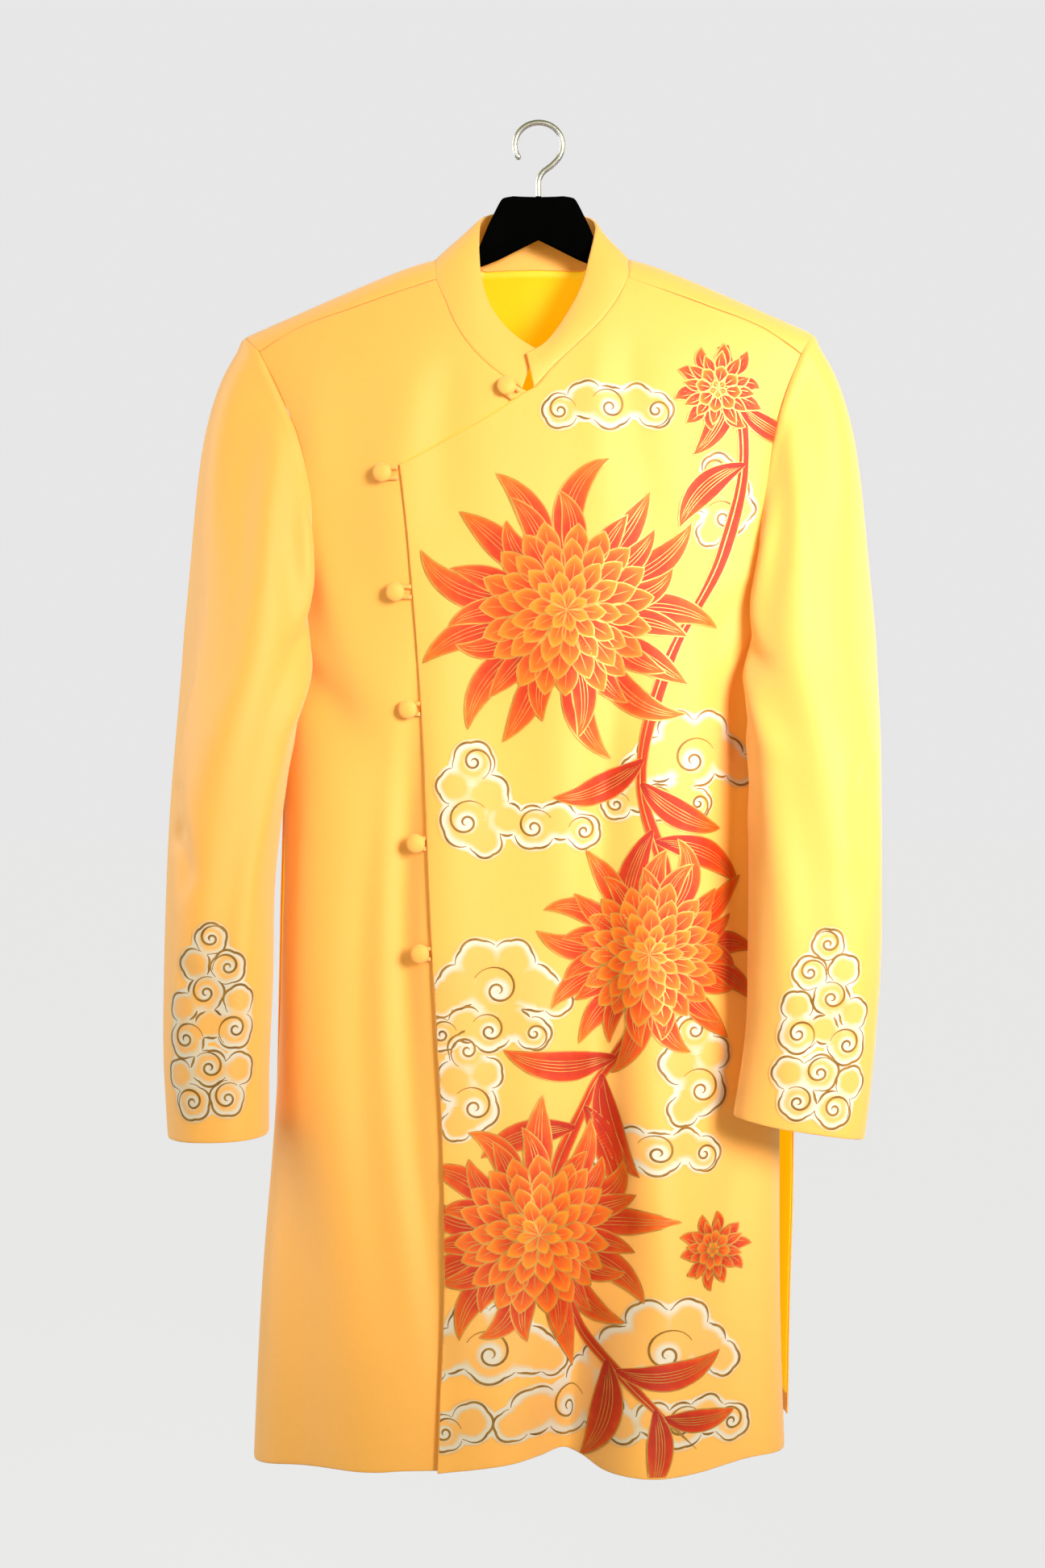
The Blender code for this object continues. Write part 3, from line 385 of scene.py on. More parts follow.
CREASE_SCALE = 2.6
FRONT_CREASES = [
    ("x0", "z0", "x1", "z1", "width0", "width1", "height"),
    (-64, -92, -70, -250, 9, 20, -0.9),
    (-92, -84, -104, -300, 10, 24, 0.9),
    (-142, -70, -126, -330, 14, 22, -0.8),
    (-172, -110, -160, -360, 9, 16, 1.0),
    (-182, -250, -140, -420, 8, 20, -2.0),
    (-196, -318, -150, -380, 6, 16, -1.8),
    (-158, -370, -164, -800, 18, 24, 2.6),
    (-196, -420, -200, -860, 10, 16, -2.0),
    (-122, -420, -124, -900, 9, 13, -1.5),
    (-92, -400, -92, -700, 9, 9, -1.2),
    (-90, -330, -80, -930, 8, 9, -2.0),
    (52, -70, 66, -240, 8, 18, 0.9),
    (74, -64, 96, -260, 8, 18, -0.9),
    (112, -60, 122, -300, 12, 22, 0.8),
    (152, -90, 150, -280, 12, 16, -0.8),
    (182, -150, 172, -330, 9, 16, 1.8),
    (194, -300, 150, -372, 6, 15, -2.2),
    (186, -262, 132, -330, 6, 18, -1.6),
    (170, -330, 172, -640, 9, 14, -3.0),
    (132, -300, 128, -620, 12, 18, 2.0),
    (98, -320, 106, -910, 15, 20, 2.6),
    (34, -300, 24, -560, 16, 20, 1.6),
    (-30, -250, -24, -460, 18, 24, -1.2),
    (-64, -420, -56, -720, 16, 22, 1.4),
    (-20, -600, -26, -880, 16, 20, -1.5),
    (66, -330, 72, -900, 10, 14, -2.2),
    (160, -720, 156, -930, 10, 14, -1.5),
]
BACK_CREASES = [
    ("x0", "z0", "x1", "z1", "width0", "width1", "height"),
    (-70, -60, -120, -260, 9, 22, -1.8),
    (66, -62, 118, -250, 9, 22, -1.9),
    (0, -34, 3, -190, 10, 22, -1.3),
    (-150, -90, -168, -300, 12, 16, 1.7),
    (154, -92, 166, -310, 12, 16, 1.6),
    (-186, -290, -120, -400, 7, 18, -2.3),
    (184, -288, 116, -392, 7, 18, -2.2),
    (-176, -262, -96, -330, 7, 20, 1.6),
    (172, -260, 100, -322, 7, 20, 1.5),
    (-110, -420, -116, -840, 16, 22, -2.0),
    (118, -430, 126, -860, 16, 22, -2.1),
    (-20, -330, -18, -560, 16, 22, 1.5),
    (40, -560, 44, -880, 14, 20, 1.5),
    (-176, -460, -182, -820, 10, 14, 1.6),
    (178, -450, 180, -800, 10, 14, 1.7),
]


def crease_height(table, a, b):
    """Sum of soft lines: each a bell across a slightly bowed line, fading in and out along it."""
    total = np.zeros(np.broadcast(a, b).shape)
    for a0, b0, a1, b1, width0, width1, height in table[1:]:
        run = math.hypot(a1 - a0, b1 - b0)
        ua, ub = (a1 - a0) / run, (b1 - b0) / run
        t = ((a - a0) * ua + (b - b0) * ub) / run
        off = (a - a0) * ub - (b - b0) * ua
        bow = off - 0.03 * run * np.sin(np.clip(t, 0.0, 1.0) * math.pi * 1.3)
        width = width0 + (width1 - width0) * np.clip(t, 0.0, 1.0)
        fade = step((t + 0.12) / 0.34) * step((1.12 - t) / 0.42)
        total = total + height * fade * np.exp(-0.5 * (bow / width) ** 2)
    return CREASE_SCALE * total


def ripple(x, z):
    """Slight unevenness of hanging cloth, under 0.3 mm, longer than it is wide."""
    return (0.14 * np.sin(x / 17.0 + 1.7 * np.sin(z / 95.0)) * np.sin(z / 63.0 + x / 80.0)
            + 0.10 * np.sin(x / 9.5 - z / 160.0 + 2.0 * np.sin(z / 70.0)))


def skin(s, w, rise):
    """Point over the body surface at a height, and the normal there. The creases begin below the
    shoulder's top."""
    points = torso(s, w)
    normal = torso_normal(s, w)
    x, z = points[..., 0], points[..., 2]
    front = np.asarray(w) > 0
    wrinkles = np.where(front, crease_height(FRONT_CREASES, x, z), crease_height(BACK_CREASES, x, z))
    ease = step(np.abs(w) / CREASES_FROM)
    height = rise + (wrinkles + ripple(x, z)) * ease
    return points + normal * height[..., None], normal


# The cloth: a matt crepe suiting in golden yellow, finely grained, with a faint fuzz that lightens
# it at grazing angles. The satin lining is a stronger yellow and shines a little. Both glow a
# little, which stands for the light that comes through thin cloth.

CREPE = (0.88, 0.38, 0.012, 1.0)
CREPE_SHEEN = 0.4
CREPE_SPECULAR = 0.9
FUZZ = (1.0, 0.95, 0.85, 1.0)
FUZZ_ROUGHNESS = 0.75
SATIN = (0.60, 0.36, 0.006, 1.0)
CREPE_THREADS = 2100.0
SATIN_THREADS = 3200.0
RELIEF_DEPTH = 0.0002


def node_group(name, inputs, outputs):
    """An empty shader group with the given sockets, and its input and output nodes."""
    group = bpy.data.node_groups.new(name, "ShaderNodeTree")
    for label, kind, value in inputs:
        socket = group.interface.new_socket(label, in_out="INPUT", socket_type=kind)
        socket.default_value = value
    for label, kind in outputs:
        group.interface.new_socket(label, in_out="OUTPUT", socket_type=kind)
    return group, group.nodes.new("NodeGroupInput"), group.nodes.new("NodeGroupOutput")


def math_node(tree, operation, *values):
    """A Math node; each input is a socket or a number."""
    node = tree.nodes.new("ShaderNodeMath")
    node.operation = operation
    for place_in, value in enumerate(values):
        feed(tree, node.inputs[place_in], value)
    return node.outputs[0]


def noise_node(tree, vector, scale, detail):
    """A Noise texture's value."""
    node = tree.nodes.new("ShaderNodeTexNoise")
    set_inputs(node, Scale=scale, Detail=detail, Roughness=0.5)
    tree.links.new(vector, node.inputs["Vector"])
    return node.outputs["Fac"]


def object_place(tree):
    """The position on the object, in metres."""
    return tree.nodes.new("ShaderNodeTexCoord").outputs["Object"]


def add_relief(tree, shader, height, strength):
    """Bump on a shader from a height."""
    relief = tree.nodes.new("ShaderNodeBump")
    set_inputs(relief, Strength=strength, Distance=RELIEF_DEPTH)
    tree.links.new(height, relief.inputs["Height"])
    tree.links.new(relief.outputs["Normal"], shader.inputs["Normal"])


def make_crepe_group():
    """Grain of a crepe weave: a height for bump and a tint about 1, from a vector in metres."""
    group, given, result = node_group(
        "crepe_grain",
        [("Vector", "NodeSocketVector", (0.0, 0.0, 0.0)),
         ("Threads per metre", "NodeSocketFloat", CREPE_THREADS)],
        [("Height", "NodeSocketFloat"), ("Tint", "NodeSocketFloat")])
    vector = given.outputs["Vector"]
    split = group.nodes.new("ShaderNodeSeparateXYZ")
    group.links.new(vector, split.inputs[0])
    turns = math_node(group, "MULTIPLY", given.outputs["Threads per metre"], 2.0 * math.pi)
    warp = math_node(group, "SINE", math_node(group, "MULTIPLY", split.outputs[0], turns))
    weft = math_node(group, "SINE", math_node(group, "MULTIPLY", split.outputs[2], turns))
    weave = math_node(group, "MULTIPLY", warp, weft)
    pebble = noise_node(group, vector, 1400.0, 2.0)
    slub = noise_node(group, vector, 260.0, 3.0)
    mottle = noise_node(group, vector, 14.0, 3.0)
    height = math_node(group, "ADD", math_node(group, "MULTIPLY", weave, 0.35), pebble)
    height = math_node(group, "ADD", height, math_node(group, "MULTIPLY", slub, 0.6))
    group.links.new(height, result.inputs["Height"])
    tint = 1.0
    for noise, share in ((pebble, 0.10), (mottle, 0.06), (slub, 0.05)):
        centred = math_node(group, "SUBTRACT", noise, 0.5)
        tint = math_node(group, "ADD", tint, math_node(group, "MULTIPLY", centred, share))
    group.links.new(tint, result.inputs["Tint"])
    return group


crepe_group = make_crepe_group()


def woven_material(name, colour, rough, specular, sheen, relief, threads=CREPE_THREADS):
    """A material on the crepe grain, which tints it and gives its relief. The colour is a constant
    or a function that makes it from the node tree and the place. Returns it and its shader."""
    look, tree, shader = new_look(name)
    where = object_place(tree)
    grain = tree.nodes.new("ShaderNodeGroup")
    grain.node_tree = crepe_group
    set_inputs(grain, Threads_per_metre=threads)
    tree.links.new(where, grain.inputs["Vector"])
    plain = colour(tree, where) if callable(colour) else colour
    tinted = mix_colours(tree, 1.0, plain, grain.outputs["Tint"], "MULTIPLY")
    tree.links.new(tinted, shader.inputs["Base Color"])
    add_relief(tree, shader, grain.outputs["Height"], relief)
    set_inputs(shader, Roughness=rough, Specular_IOR_Level=specular, Sheen_Weight=sheen,
               Sheen_Roughness=FUZZ_ROUGHNESS)
    return look, shader


crepe, crepe_shader = woven_material("yellow_crepe", CREPE, 0.62, CREPE_SPECULAR, CREPE_SHEEN, 0.28)
set_inputs(crepe_shader, Sheen_Tint=FUZZ, Emission_Color=(1.0, 0.40, 0.0, 1.0), Emission_Strength=0.1)
satin, satin_shader = woven_material("yellow_lining", SATIN, 0.42, 0.5, 0.05, 0.12, SATIN_THREADS)
set_inputs(satin_shader, Sheen_Tint=(1.0, 0.8, 0.2, 1.0), Emission_Color=(1.0, 0.53, 0.0, 1.0),
           Emission_Strength=0.55)


# Cloth pieces are shells 1.5 mm thick between two grids of points, closed round their edges. Each
# grid is the CAD panel's coarse grid of s and w made finer, so every piece keeps its cut.

FINE = 2
SETTLE_STEPS = 600
EDGE_ROWS = (0.02, 0.07)


def patch(top, bottom, start, end):
    """Grid filled in between four sides that share their corners, then settled."""
    v = np.linspace(0.0, 1.0, len(start))[:, None, None]
    u = np.linspace(0.0, 1.0, len(top))[None, :, None]
    across = (1.0 - v) * top[None] + v * bottom[None]
    downward = (1.0 - u) * start[:, None] + u * end[:, None]
    corners = ((1.0 - v) * (1.0 - u) * top[0] + (1.0 - v) * u * top[-1]
               + v * (1.0 - u) * bottom[0] + v * u * bottom[-1])
    scale = np.array([ACROSS_SCALE, 1.0])
    p = (across + downward - corners) * scale
    for _ in range(SETTLE_STEPS):
        by_u = (p[1:-1, 2:] - p[1:-1, :-2]) / 2.0
        by_v = (p[2:, 1:-1] - p[:-2, 1:-1]) / 2.0
        alpha = np.sum(by_v * by_v, axis=-1, keepdims=True)
        beta = np.sum(by_u * by_v, axis=-1, keepdims=True)
        gamma = np.sum(by_u * by_u, axis=-1, keepdims=True)
        twist = (p[2:, 2:] - p[:-2, 2:] - p[2:, :-2] + p[:-2, :-2]) / 4.0
        settled = (alpha * (p[1:-1, 2:] + p[1:-1, :-2]) + gamma * (p[2:, 1:-1] + p[:-2, 1:-1])
                   - 2.0 * beta * twist) / (2.0 * (alpha + gamma) + 1e-9)
        p[1:-1, 1:-1] = p[1:-1, 1:-1] * 0.3 + settled * 0.7
    return p / scale


def even_on_body(line, count, crowd=1.0):
    """s and w of points spaced along a line on the body surface, closer at its start if crowd is
    over 1."""
    length = run_along(torso(line[:, 0], line[:, 1]))
    even = length[-1] * np.linspace(0.0, 1.0, count + 1) ** crowd
    return np.stack([np.interp(even, length, line[:, k]) for k in range(2)], 1)


def placed_line(points, count, front=True):
    """A front view line on the body surface, as evenly spaced s and w."""
    line = along(points, 400)
    s, w = place(line[:, 0], line[:, 1], front)
    return even_on_body(np.stack([s, w], 1), count)


def side_line(start_z, hem_z, side, count, front):
    """The side seam from the underarm to the hem, with rows closer at its top."""
    z = start_z + (hem_z - start_z) * np.linspace(0.0, 1.0, count + 1) ** 1.15
    down = -z
    for _ in range(40):
        reach = half_width(down, np.full_like(down, side), front)
        down = shoulder_height(reach) * level_out(down) - z
    radius = ridge_radius(1.0)
    w = radius * math.pi / 2.0 + down - radius
    return np.stack([np.full_like(w, side), w if front else -w], 1)


def join(*lines):
    """Lines end to end, each shared point kept once."""
    return np.concatenate([lines[0]] + [line[1:] for line in lines[1:]])


def finer_axis(values, per_cell, breaks, edges):
    """Values between the rows of an array on smooth curves. Curves stop at the rows in breaks, and
    edges adds close rows at the first and last row."""
    count = len(values) - 1
    at = np.linspace(0.0, count, count * per_cell + 1)
    if edges:
        near = np.array(edges)
        at = np.unique(np.round(np.concatenate([at, near, count - near]), 5))
    out = np.zeros((len(at),) + values.shape[1:])
    stops = [0] + [b for b in sorted(breaks) if 0 < b < count] + [count]
    for first, last in zip(stops[:-1], stops[1:]):
        part = values[first:last + 1]
        chosen = (at >= first) & (at <= last)
        if len(part) > 2:
            slope = np.gradient(part, axis=0)
        else:
            slope = np.repeat(part[1:] - part[:1], 2, axis=0)
        t = at[chosen] - first
        i = np.clip(t.astype(int), 0, len(part) - 2)
        f = (t - i).reshape((-1,) + (1,) * (values.ndim - 1))
        out[chosen] = cubic(f, part[i], part[i + 1], slope[i], slope[i + 1])
    return out


def finer(grid, per_row, per_col, row_breaks=(), col_breaks=(), edges=EDGE_ROWS):
    """A coarse grid made finer both ways."""
    rows = finer_axis(grid, per_row, row_breaks, edges)
    cols = finer_axis(np.swapaxes(rows, 0, 1), per_col, col_breaks, edges)
    return np.swapaxes(cols, 0, 1)


def edge_drop(rows, cols, amounts):
    """How far the outer face sinks at each edge: all of it at the edge, a fifth one row in."""
    drop = np.zeros((rows, cols))
    top, bottom, start, end = amounts
    for row, share in ((0, 1.0), (1, 0.2)):
        for line, amount in ((drop[row], top), (drop[-1 - row], bottom),
                             (drop[:, row], start), (drop[:, -1 - row], end)):
            np.maximum(line, amount * share, out=line)
    return drop


def cells(rows, cols, round_cols=False):
    """Corners of each cell of a grid of points: here, below, below beside, beside. With round_cols
    the last column meets the first."""
    index = np.arange(rows * cols).reshape(rows, cols)
    if round_cols:
        index = np.concatenate([index, index[:, :1]], axis=1)
    return np.stack([index[:-1, :-1], index[1:, :-1], index[1:, 1:], index[:-1, 1:]], -1)


def facing(points, faces):
    """The way each face looks, from its sides at its first corner."""
    corner = points[faces[:, 0]]
    return np.cross(points[faces[:, 1]] - corner, points[faces[:, 3]] - corner)


def piece(name, points, faces, look):
    """A piece of the object, from points in millimetres, riding on the body."""
    made = plain_mesh(name, in_row(points), faces)
    made.data.materials.append(look)
    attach(made, "root")
    return made


def shell(name, outer, inner, look, kept=None, round_cols=False):
    """A closed shell between two grids of points. kept marks the cells it has; with round_cols its
    last column meets its first. The faces are turned so that the outer grid faces out."""
    rows, cols = outer.shape[:2]
    quads = cells(rows, cols, round_cols)[..., [0, 3, 2, 1]]
    quads = quads.reshape(-1, 4) if kept is None else quads[kept]
    count = rows * cols
    pairs = np.concatenate([quads[:, [0, 1]], quads[:, [1, 2]], quads[:, [2, 3]], quads[:, [3, 0]]])
    code = pairs[:, 0] * count + pairs[:, 1]
    back_code = pairs[:, 1] * count + pairs[:, 0]
    rim = pairs[~np.isin(code, back_code)]
    points = np.concatenate([outer.reshape(-1, 3), inner.reshape(-1, 3)])
    sample = quads[:: max(1, len(quads) // 400)]
    outward = points[sample[:, 0]] - points[sample[:, 0] + count]
    sides = np.stack([rim[:, 1], rim[:, 0], rim[:, 0] + count, rim[:, 1] + count], -1)
    faces = np.concatenate([quads, quads[:, ::-1] + count, sides])
    if np.sum(facing(points, sample) * outward) < 0:
        faces = faces[:, ::-1]
    used = np.unique(faces)
    renumber = np.zeros(2 * count, int)
    renumber[used] = np.arange(len(used))
    return piece(name, points[used], renumber[faces], look)


def area_of(grid):
    """Area in square metres of a grid of points in millimetres."""
    by_row = grid[1:, :-1] - grid[:-1, :-1]
    by_col = grid[:-1, 1:] - grid[:-1, :-1]
    return float(np.linalg.norm(np.cross(by_row, by_col), axis=-1).sum()) * 1e-6


def body_panel(name, grid, rise, look, drops, wall=CLOTH, kept=None):
    """A panel on the body surface, its outer face at a height over it. Returns its outer points too."""
    s, w = grid[..., 0], grid[..., 1]
    rows, cols = s.shape
    base, normal = skin(s, w, np.broadcast_to(rise, s.shape))
    outer = base - normal * edge_drop(rows, cols, drops)[..., None]
    inner = base - normal * wall
    return shell(name, outer, inner, look, kept), outer


# Under front, the wearer's right: shoulder 150 mm, 940 mm long, with its hidden underlap. The neck
# edge and the forward shoulder seam are sunk a little, as sewn seams are; the hem is a turned edge.

SHOULDER_SEAM_LEFT = [("x", "z"), (-77.5, -24), (-110, -34.5), (-141, -45.7), (-187, -62.5), (-217.4, -81.5)]
ARMHOLE_LEFT = [("x", "z"), (-217.4, -81.5), (-209, -97), (-199.7, -118), (-189, -139), (-182.4, -160),
                (-177, -184), (-174.5, -208), (-176, -232), (-181, -256), (-189, -280), (-198, -300)]
NECK_LEFT = [("x", "z"), (-77.5, -24), (-70, -41), (-61, -61.8), (-48.4, -80), (-35.7, -92.8),
             (-23, -103), (-9, -112.5), (3, -117)]
UNDER_EDGE = [("x", "z"), (3, -117), (-16, -146), (-42, -178), (-52, -215), (-52, -300), (-44, -480),
              (-38, -700), (-34, -957)]
HEM_UNDER = [("x", "z"), (-225.5, -966.5), (-200, -963.5), (-166, -961), (-127, -961), (-100, -959.5),
             (-74, -959.5), (-34, -957)]

FRONT_DROPS = (0.8, 0.35, 0.35, 0.7)
left_seam = placed_line(SHOULDER_SEAM_LEFT[1:], 13)
left_arm = placed_line(ARMHOLE_LEFT[1:], 10)
left_side = side_line(-300.0, -966.5, -1.0, 14, True)
left_neck = placed_line(NECK_LEFT[1:-1], 6)
left_tab = placed_line(NECK_LEFT[-2:], 1)
left_hidden = placed_line(UNDER_EDGE[1:], 17)
left_hem = placed_line(HEM_UNDER[:0:-1], 13)
left_arm[-1] = left_side[0]
left_hem[-1] = left_side[-1]
under_grid = patch(left_seam, left_hem, join(left_neck, left_tab, left_hidden), join(left_arm, left_side))
under_fine = finer(under_grid, 5 * FINE, 4 * FINE, row_breaks=(7, 10))
under_front, under_points = body_panel("under_front", under_fine, 0.0, crepe, FRONT_DROPS)
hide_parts("front_right")
under_area = area_of(under_points)


# Over front, the wearer's left: it laps over the under front from the neck's middle along the slant
# and down to the hem. Its free edge is turned and stands 1.2 mm off at the top, 4.7 mm at the hem.

SHOULDER_SEAM_RIGHT = [("x", "z"), (75, -23), (110, -34.5), (141, -46), (184, -63), (212.5, -83.4)]
ARMHOLE_RIGHT = [("x", "z"), (212.5, -83.4), (205, -101), (196, -126), (190.5, -148), (185.5, -175),
                 (181, -204), (179, -230), (182, -256), (189, -280), (197.5, -300)]
NECK_RIGHT = [("x", "z"), (75, -23), (66, -42), (51.5, -61), (36, -76.5), (19.5, -92), (9, -103),
              (0.6, -112.7)]
SLANT_EDGE = [("x", "z"), (0.6, -112.7), (-10.5, -119), (-38, -137), (-64, -150), (-88, -164),
              (-104.4, -172.5)]
OVER_EDGE = [("x", "z"), (-104.4, -172.5), (-103, -188), (-100, -208), (-97, -240), (-93.5, -282),
             (-88, -364), (-83, -469), (-79, -556), (-75, -630), (-71.7, -693), (-69.7, -818), (-72.5, -890),
             (-75, -960.5)]
HEM_OVER = [("x", "z"), (-75, -960.5), (-38, -956.5), (-3, -952), (25, -949.5), (42, -954), (60, -961),
            (82, -962.5), (112, -964), (127, -963.5), (149, -961), (176, -958), (203.4, -958)]

right_seam = placed_line(SHOULDER_SEAM_RIGHT[1:], 13)
right_arm = placed_line(ARMHOLE_RIGHT[1:], 10)
right_side = side_line(-300.0, -958.0, 1.0, 16, True)
right_neck = placed_line(NECK_RIGHT[1:], 6)
slant = placed_line(SLANT_EDGE[1:], 6)
free_edge = placed_line(OVER_EDGE[1:], 14)
right_hem = placed_line(HEM_OVER[1:], 13)
right_arm[-1] = right_side[0]
right_hem[-1] = right_side[-1]
over_grid = patch(right_seam, right_hem, join(right_neck, slant, free_edge), join(right_arm, right_side))


def over_lift(points):
    """How far the over front lies outside the body surface: a little more down the open edge."""
    gap = LAYER_GAP + FREE_EDGE_GAP * step((-points[..., 2] - 250.0) / 700.0)
    return (CLOTH + gap) * (1.0 - step((points[..., 0] - 40.0) / 90.0))


over_fine = finer(over_grid, 5 * FINE, 6 * FINE, row_breaks=(6, 12, 10))
over_rise = over_lift(torso(over_fine[..., 0], over_fine[..., 1]))
over_front, over_points = body_panel("over_front", over_fine, over_rise, crepe, FRONT_DROPS)
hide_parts("front_left")
over_area = area_of(over_points)


# Back: one piece 430 mm wide that wraps over both shoulders to the forward seams. The satin lining
# inside it shows in the neck and at the vents, and stops 18 mm above the hem.

BACK_ARMHOLE = [("inset", "z"), (0, -68.6), (6, -90), (13, -115), (19, -145), (23, -175), (25, -205),
                (23.5, -232), (18, -256), (9, -279), (0, -300)]
BACK_NECK = [("x", "w"), (-77.5, 8), (-76, -2), (-66, -10), (-45, -15), (-20, -17.5), (0, -18),
             (20, -17.5), (45, -15), (65, -10), (74.5, -2), (75.5, 8)]
HEM_BACK = [("x", "z"), (-219, -950), (-110, -949), (0, -948), (110, -948), (210.4, -948)]
STRIP_FOOT = -22.0
SIDE_GAP = 0.0009
LINING_RISE = 0.24
LINING = 1.0
BACK_DROPS = (0.8, 0.35, 0.7, 0.7)
LINING_DROPS = (0.3, 0.3, 0.3, 0.3)
LINING_SINK = 0.3
ALONG_NECK = (60.0, 1.0)


def straight(start, end, count):
    """Evenly spaced s and w from one point to another."""
    t = np.linspace(0.0, 1.0, count + 1)[:, None]
    return np.asarray(start) * (1.0 - t) + np.asarray(end) * t


def back_arm_line(side):
    """The back armhole below the shoulder strip, down to the underarm."""
    inset, z = column(BACK_ARMHOLE, "inset"), column(BACK_ARMHOLE, "z")
    reach = half_width(np.maximum(-z - 20.0, 0.0), np.full_like(z, side), False)
    line = placed_line(np.stack([side * (reach - inset), z], 1), 120, front=False)
    line[0] = (side, 0.0)
    return even_on_body(line[line[:, 1] <= STRIP_FOOT], 8, crowd=1.15)


def shoulder_strip(seam, side, arm_foot, neck):
    """The part of the back that wraps over one shoulder."""
    outer_side = join(straight(seam[-1], (side, 0.0), 3), straight((side, 0.0), arm_foot, 2))
    return patch(seam, straight(neck[-1], arm_foot, 8), neck, outer_side)


def neck_side(seam_end, side):
    """The neckline beside the neck, from the forward seam to behind the shoulder's top."""
    x = column(BACK_NECK, "x")
    line = np.stack([place(x, shoulder_height(x) - 4.0)[0], column(BACK_NECK, "w")], 1)
    half = line[:4] if side < 0 else line[::-1][:4]
    around = along(np.concatenate([seam_end[None], half]) * ALONG_NECK, 200) / ALONG_NECK
    return even_on_body(around, 5)


left_back_seam = placed_line(SHOULDER_SEAM_LEFT[1:], 8) - (0.0, SEAM_GAP)
right_back_seam = placed_line(SHOULDER_SEAM_RIGHT[1:], 8) - (0.0, SEAM_GAP)
left_back_arm, right_back_arm = back_arm_line(-1.0), back_arm_line(1.0)
left_neck_side, right_neck_side = neck_side(left_back_seam[0], -1.0), neck_side(right_back_seam[0], 1.0)
left_strip = shoulder_strip(left_back_seam, -1.0, left_back_arm[0], left_neck_side)
right_strip = shoulder_strip(right_back_seam, 1.0, right_back_arm[0], right_neck_side)
neck_middle = np.concatenate([left_neck_side[-1:], [(-0.09, -17.6), (0.0, -18.0), (0.09, -17.6)],
                              right_neck_side[-1:]])
neck_middle = even_on_body(along(neck_middle * ALONG_NECK, 200) / ALONG_NECK, 8)
back_left_side = side_line(-300.0, -950.0, -1.0, 10, False)
back_right_side = side_line(-300.0, -948.0, 1.0, 10, False)
left_back_arm[-1] = back_left_side[0]
right_back_arm[-1] = back_right_side[0]
main_top = join(left_strip[-1][::-1], neck_middle, right_strip[-1])
back_hem = placed_line(HEM_BACK[1:], len(main_top) - 1, front=False)
back_hem[0] = back_left_side[-1]
back_hem[-1] = back_right_side[-1]
main_grid = patch(main_top, back_hem, join(left_back_arm, back_left_side),
                  join(right_back_arm, back_right_side))
main_grid[8:, 0, 0] += SIDE_GAP
main_grid[8:, -1, 0] -= SIDE_GAP
blank = np.repeat(neck_middle[None, 1:-1], 5, axis=0)
upper_grid = np.concatenate([left_strip[:-1, ::-1], blank, right_strip[:-1]], axis=1)
lining_foot = main_grid[-2:-1] * LINING_RISE + main_grid[-1:] * (1.0 - LINING_RISE)
back_grid = np.concatenate([upper_grid, main_grid[:-1], lining_foot, main_grid[-1:]])


def back_cells(grid, per_row, per_col):
    """The fine grid of a back piece and its cells that aren't in the neck opening."""
    fine = finer(grid, per_row, per_col, row_breaks=(5, 13), col_breaks=(8, 16))
    rows = finer_axis(np.arange(len(grid), dtype=float), per_row, (), EDGE_ROWS)
    cols = finer_axis(np.arange(grid.shape[1], dtype=float), per_col, (), EDGE_ROWS)
    r = (rows[1:] + rows[:-1]) / 2.0
    c = (cols[1:] + cols[:-1]) / 2.0
    return fine, ~((r[:, None] < 5.0) & (c[None] > 8.0) & (c[None] < 16.0))


back_fine, back_kept = back_cells(back_grid, 4 * FINE, 3 * FINE)
back_piece, back_points = body_panel("back_panel", back_fine, 0.0, crepe, BACK_DROPS, kept=back_kept)
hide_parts("back")
back_area = area_of(back_points)
lining_fine, lining_kept = back_cells(back_grid[:-1], 3 * FINE, 3 * FINE)
lining_piece, lining_points = body_panel("back_lining_satin", lining_fine, -(CLOTH + LINING_SINK), satin,
                                         LINING_DROPS, LINING, lining_kept)
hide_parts("back_lining")
lining_area = area_of(lining_points)


# Sleeves: set-in, cut in one with a full cap, 640 mm long, about 370 mm round the arm and 280 mm at
# the cuff. The cap is roped: it rises 1.6 mm just outside the armhole seam. A soft pressed fold runs
# down the front.

# Rings of the sleeves: the distance below the neck point, the ring's middle, its half sizes, its
# turn in degrees and how far its outer side hangs lower.
SLEEVE_LEFT = [
    ("down", "x", "y", "half_x", "half_y", "turn", "rise"),
    (330, 229.5, -27, 49, 68, 18, 3), (363, 233.5, -37, 48, 65, 12, 2), (400, 238, -45, 46.5, 62, 7, 1),
    (442, 242.5, -51, 44.7, 59.5, 3, 0), (505, 247, -58, 42.5, 56.5, 0, 0), (577, 248.5, -64, 42.7, 54, 0, 0),
    (640, 250, -68, 41.5, 52, 0, 0), (698.5, 248.6, -70, 39.7, 50, 0, 1),
]
SLEEVE_RIGHT = [
    ("down", "x", "y", "half_x", "half_y", "turn", "rise"),
    (330, 221, -36, 50, 66, 22, 3), (376, 221.6, -54, 51.8, 60, 14, 2), (440, 221.5, -69, 52, 54, 6, 0),
    (500, 221, -79, 52.1, 48, 0, 0), (560, 220, -85, 52, 43, 0, 0), (612, 217.7, -88, 50.8, 39, 0, 1),
    (660, 212.5, -90, 51.5, 36, 0, 5), (689.5, 208.2, -91, 51.5, 35, 0, 9),
]
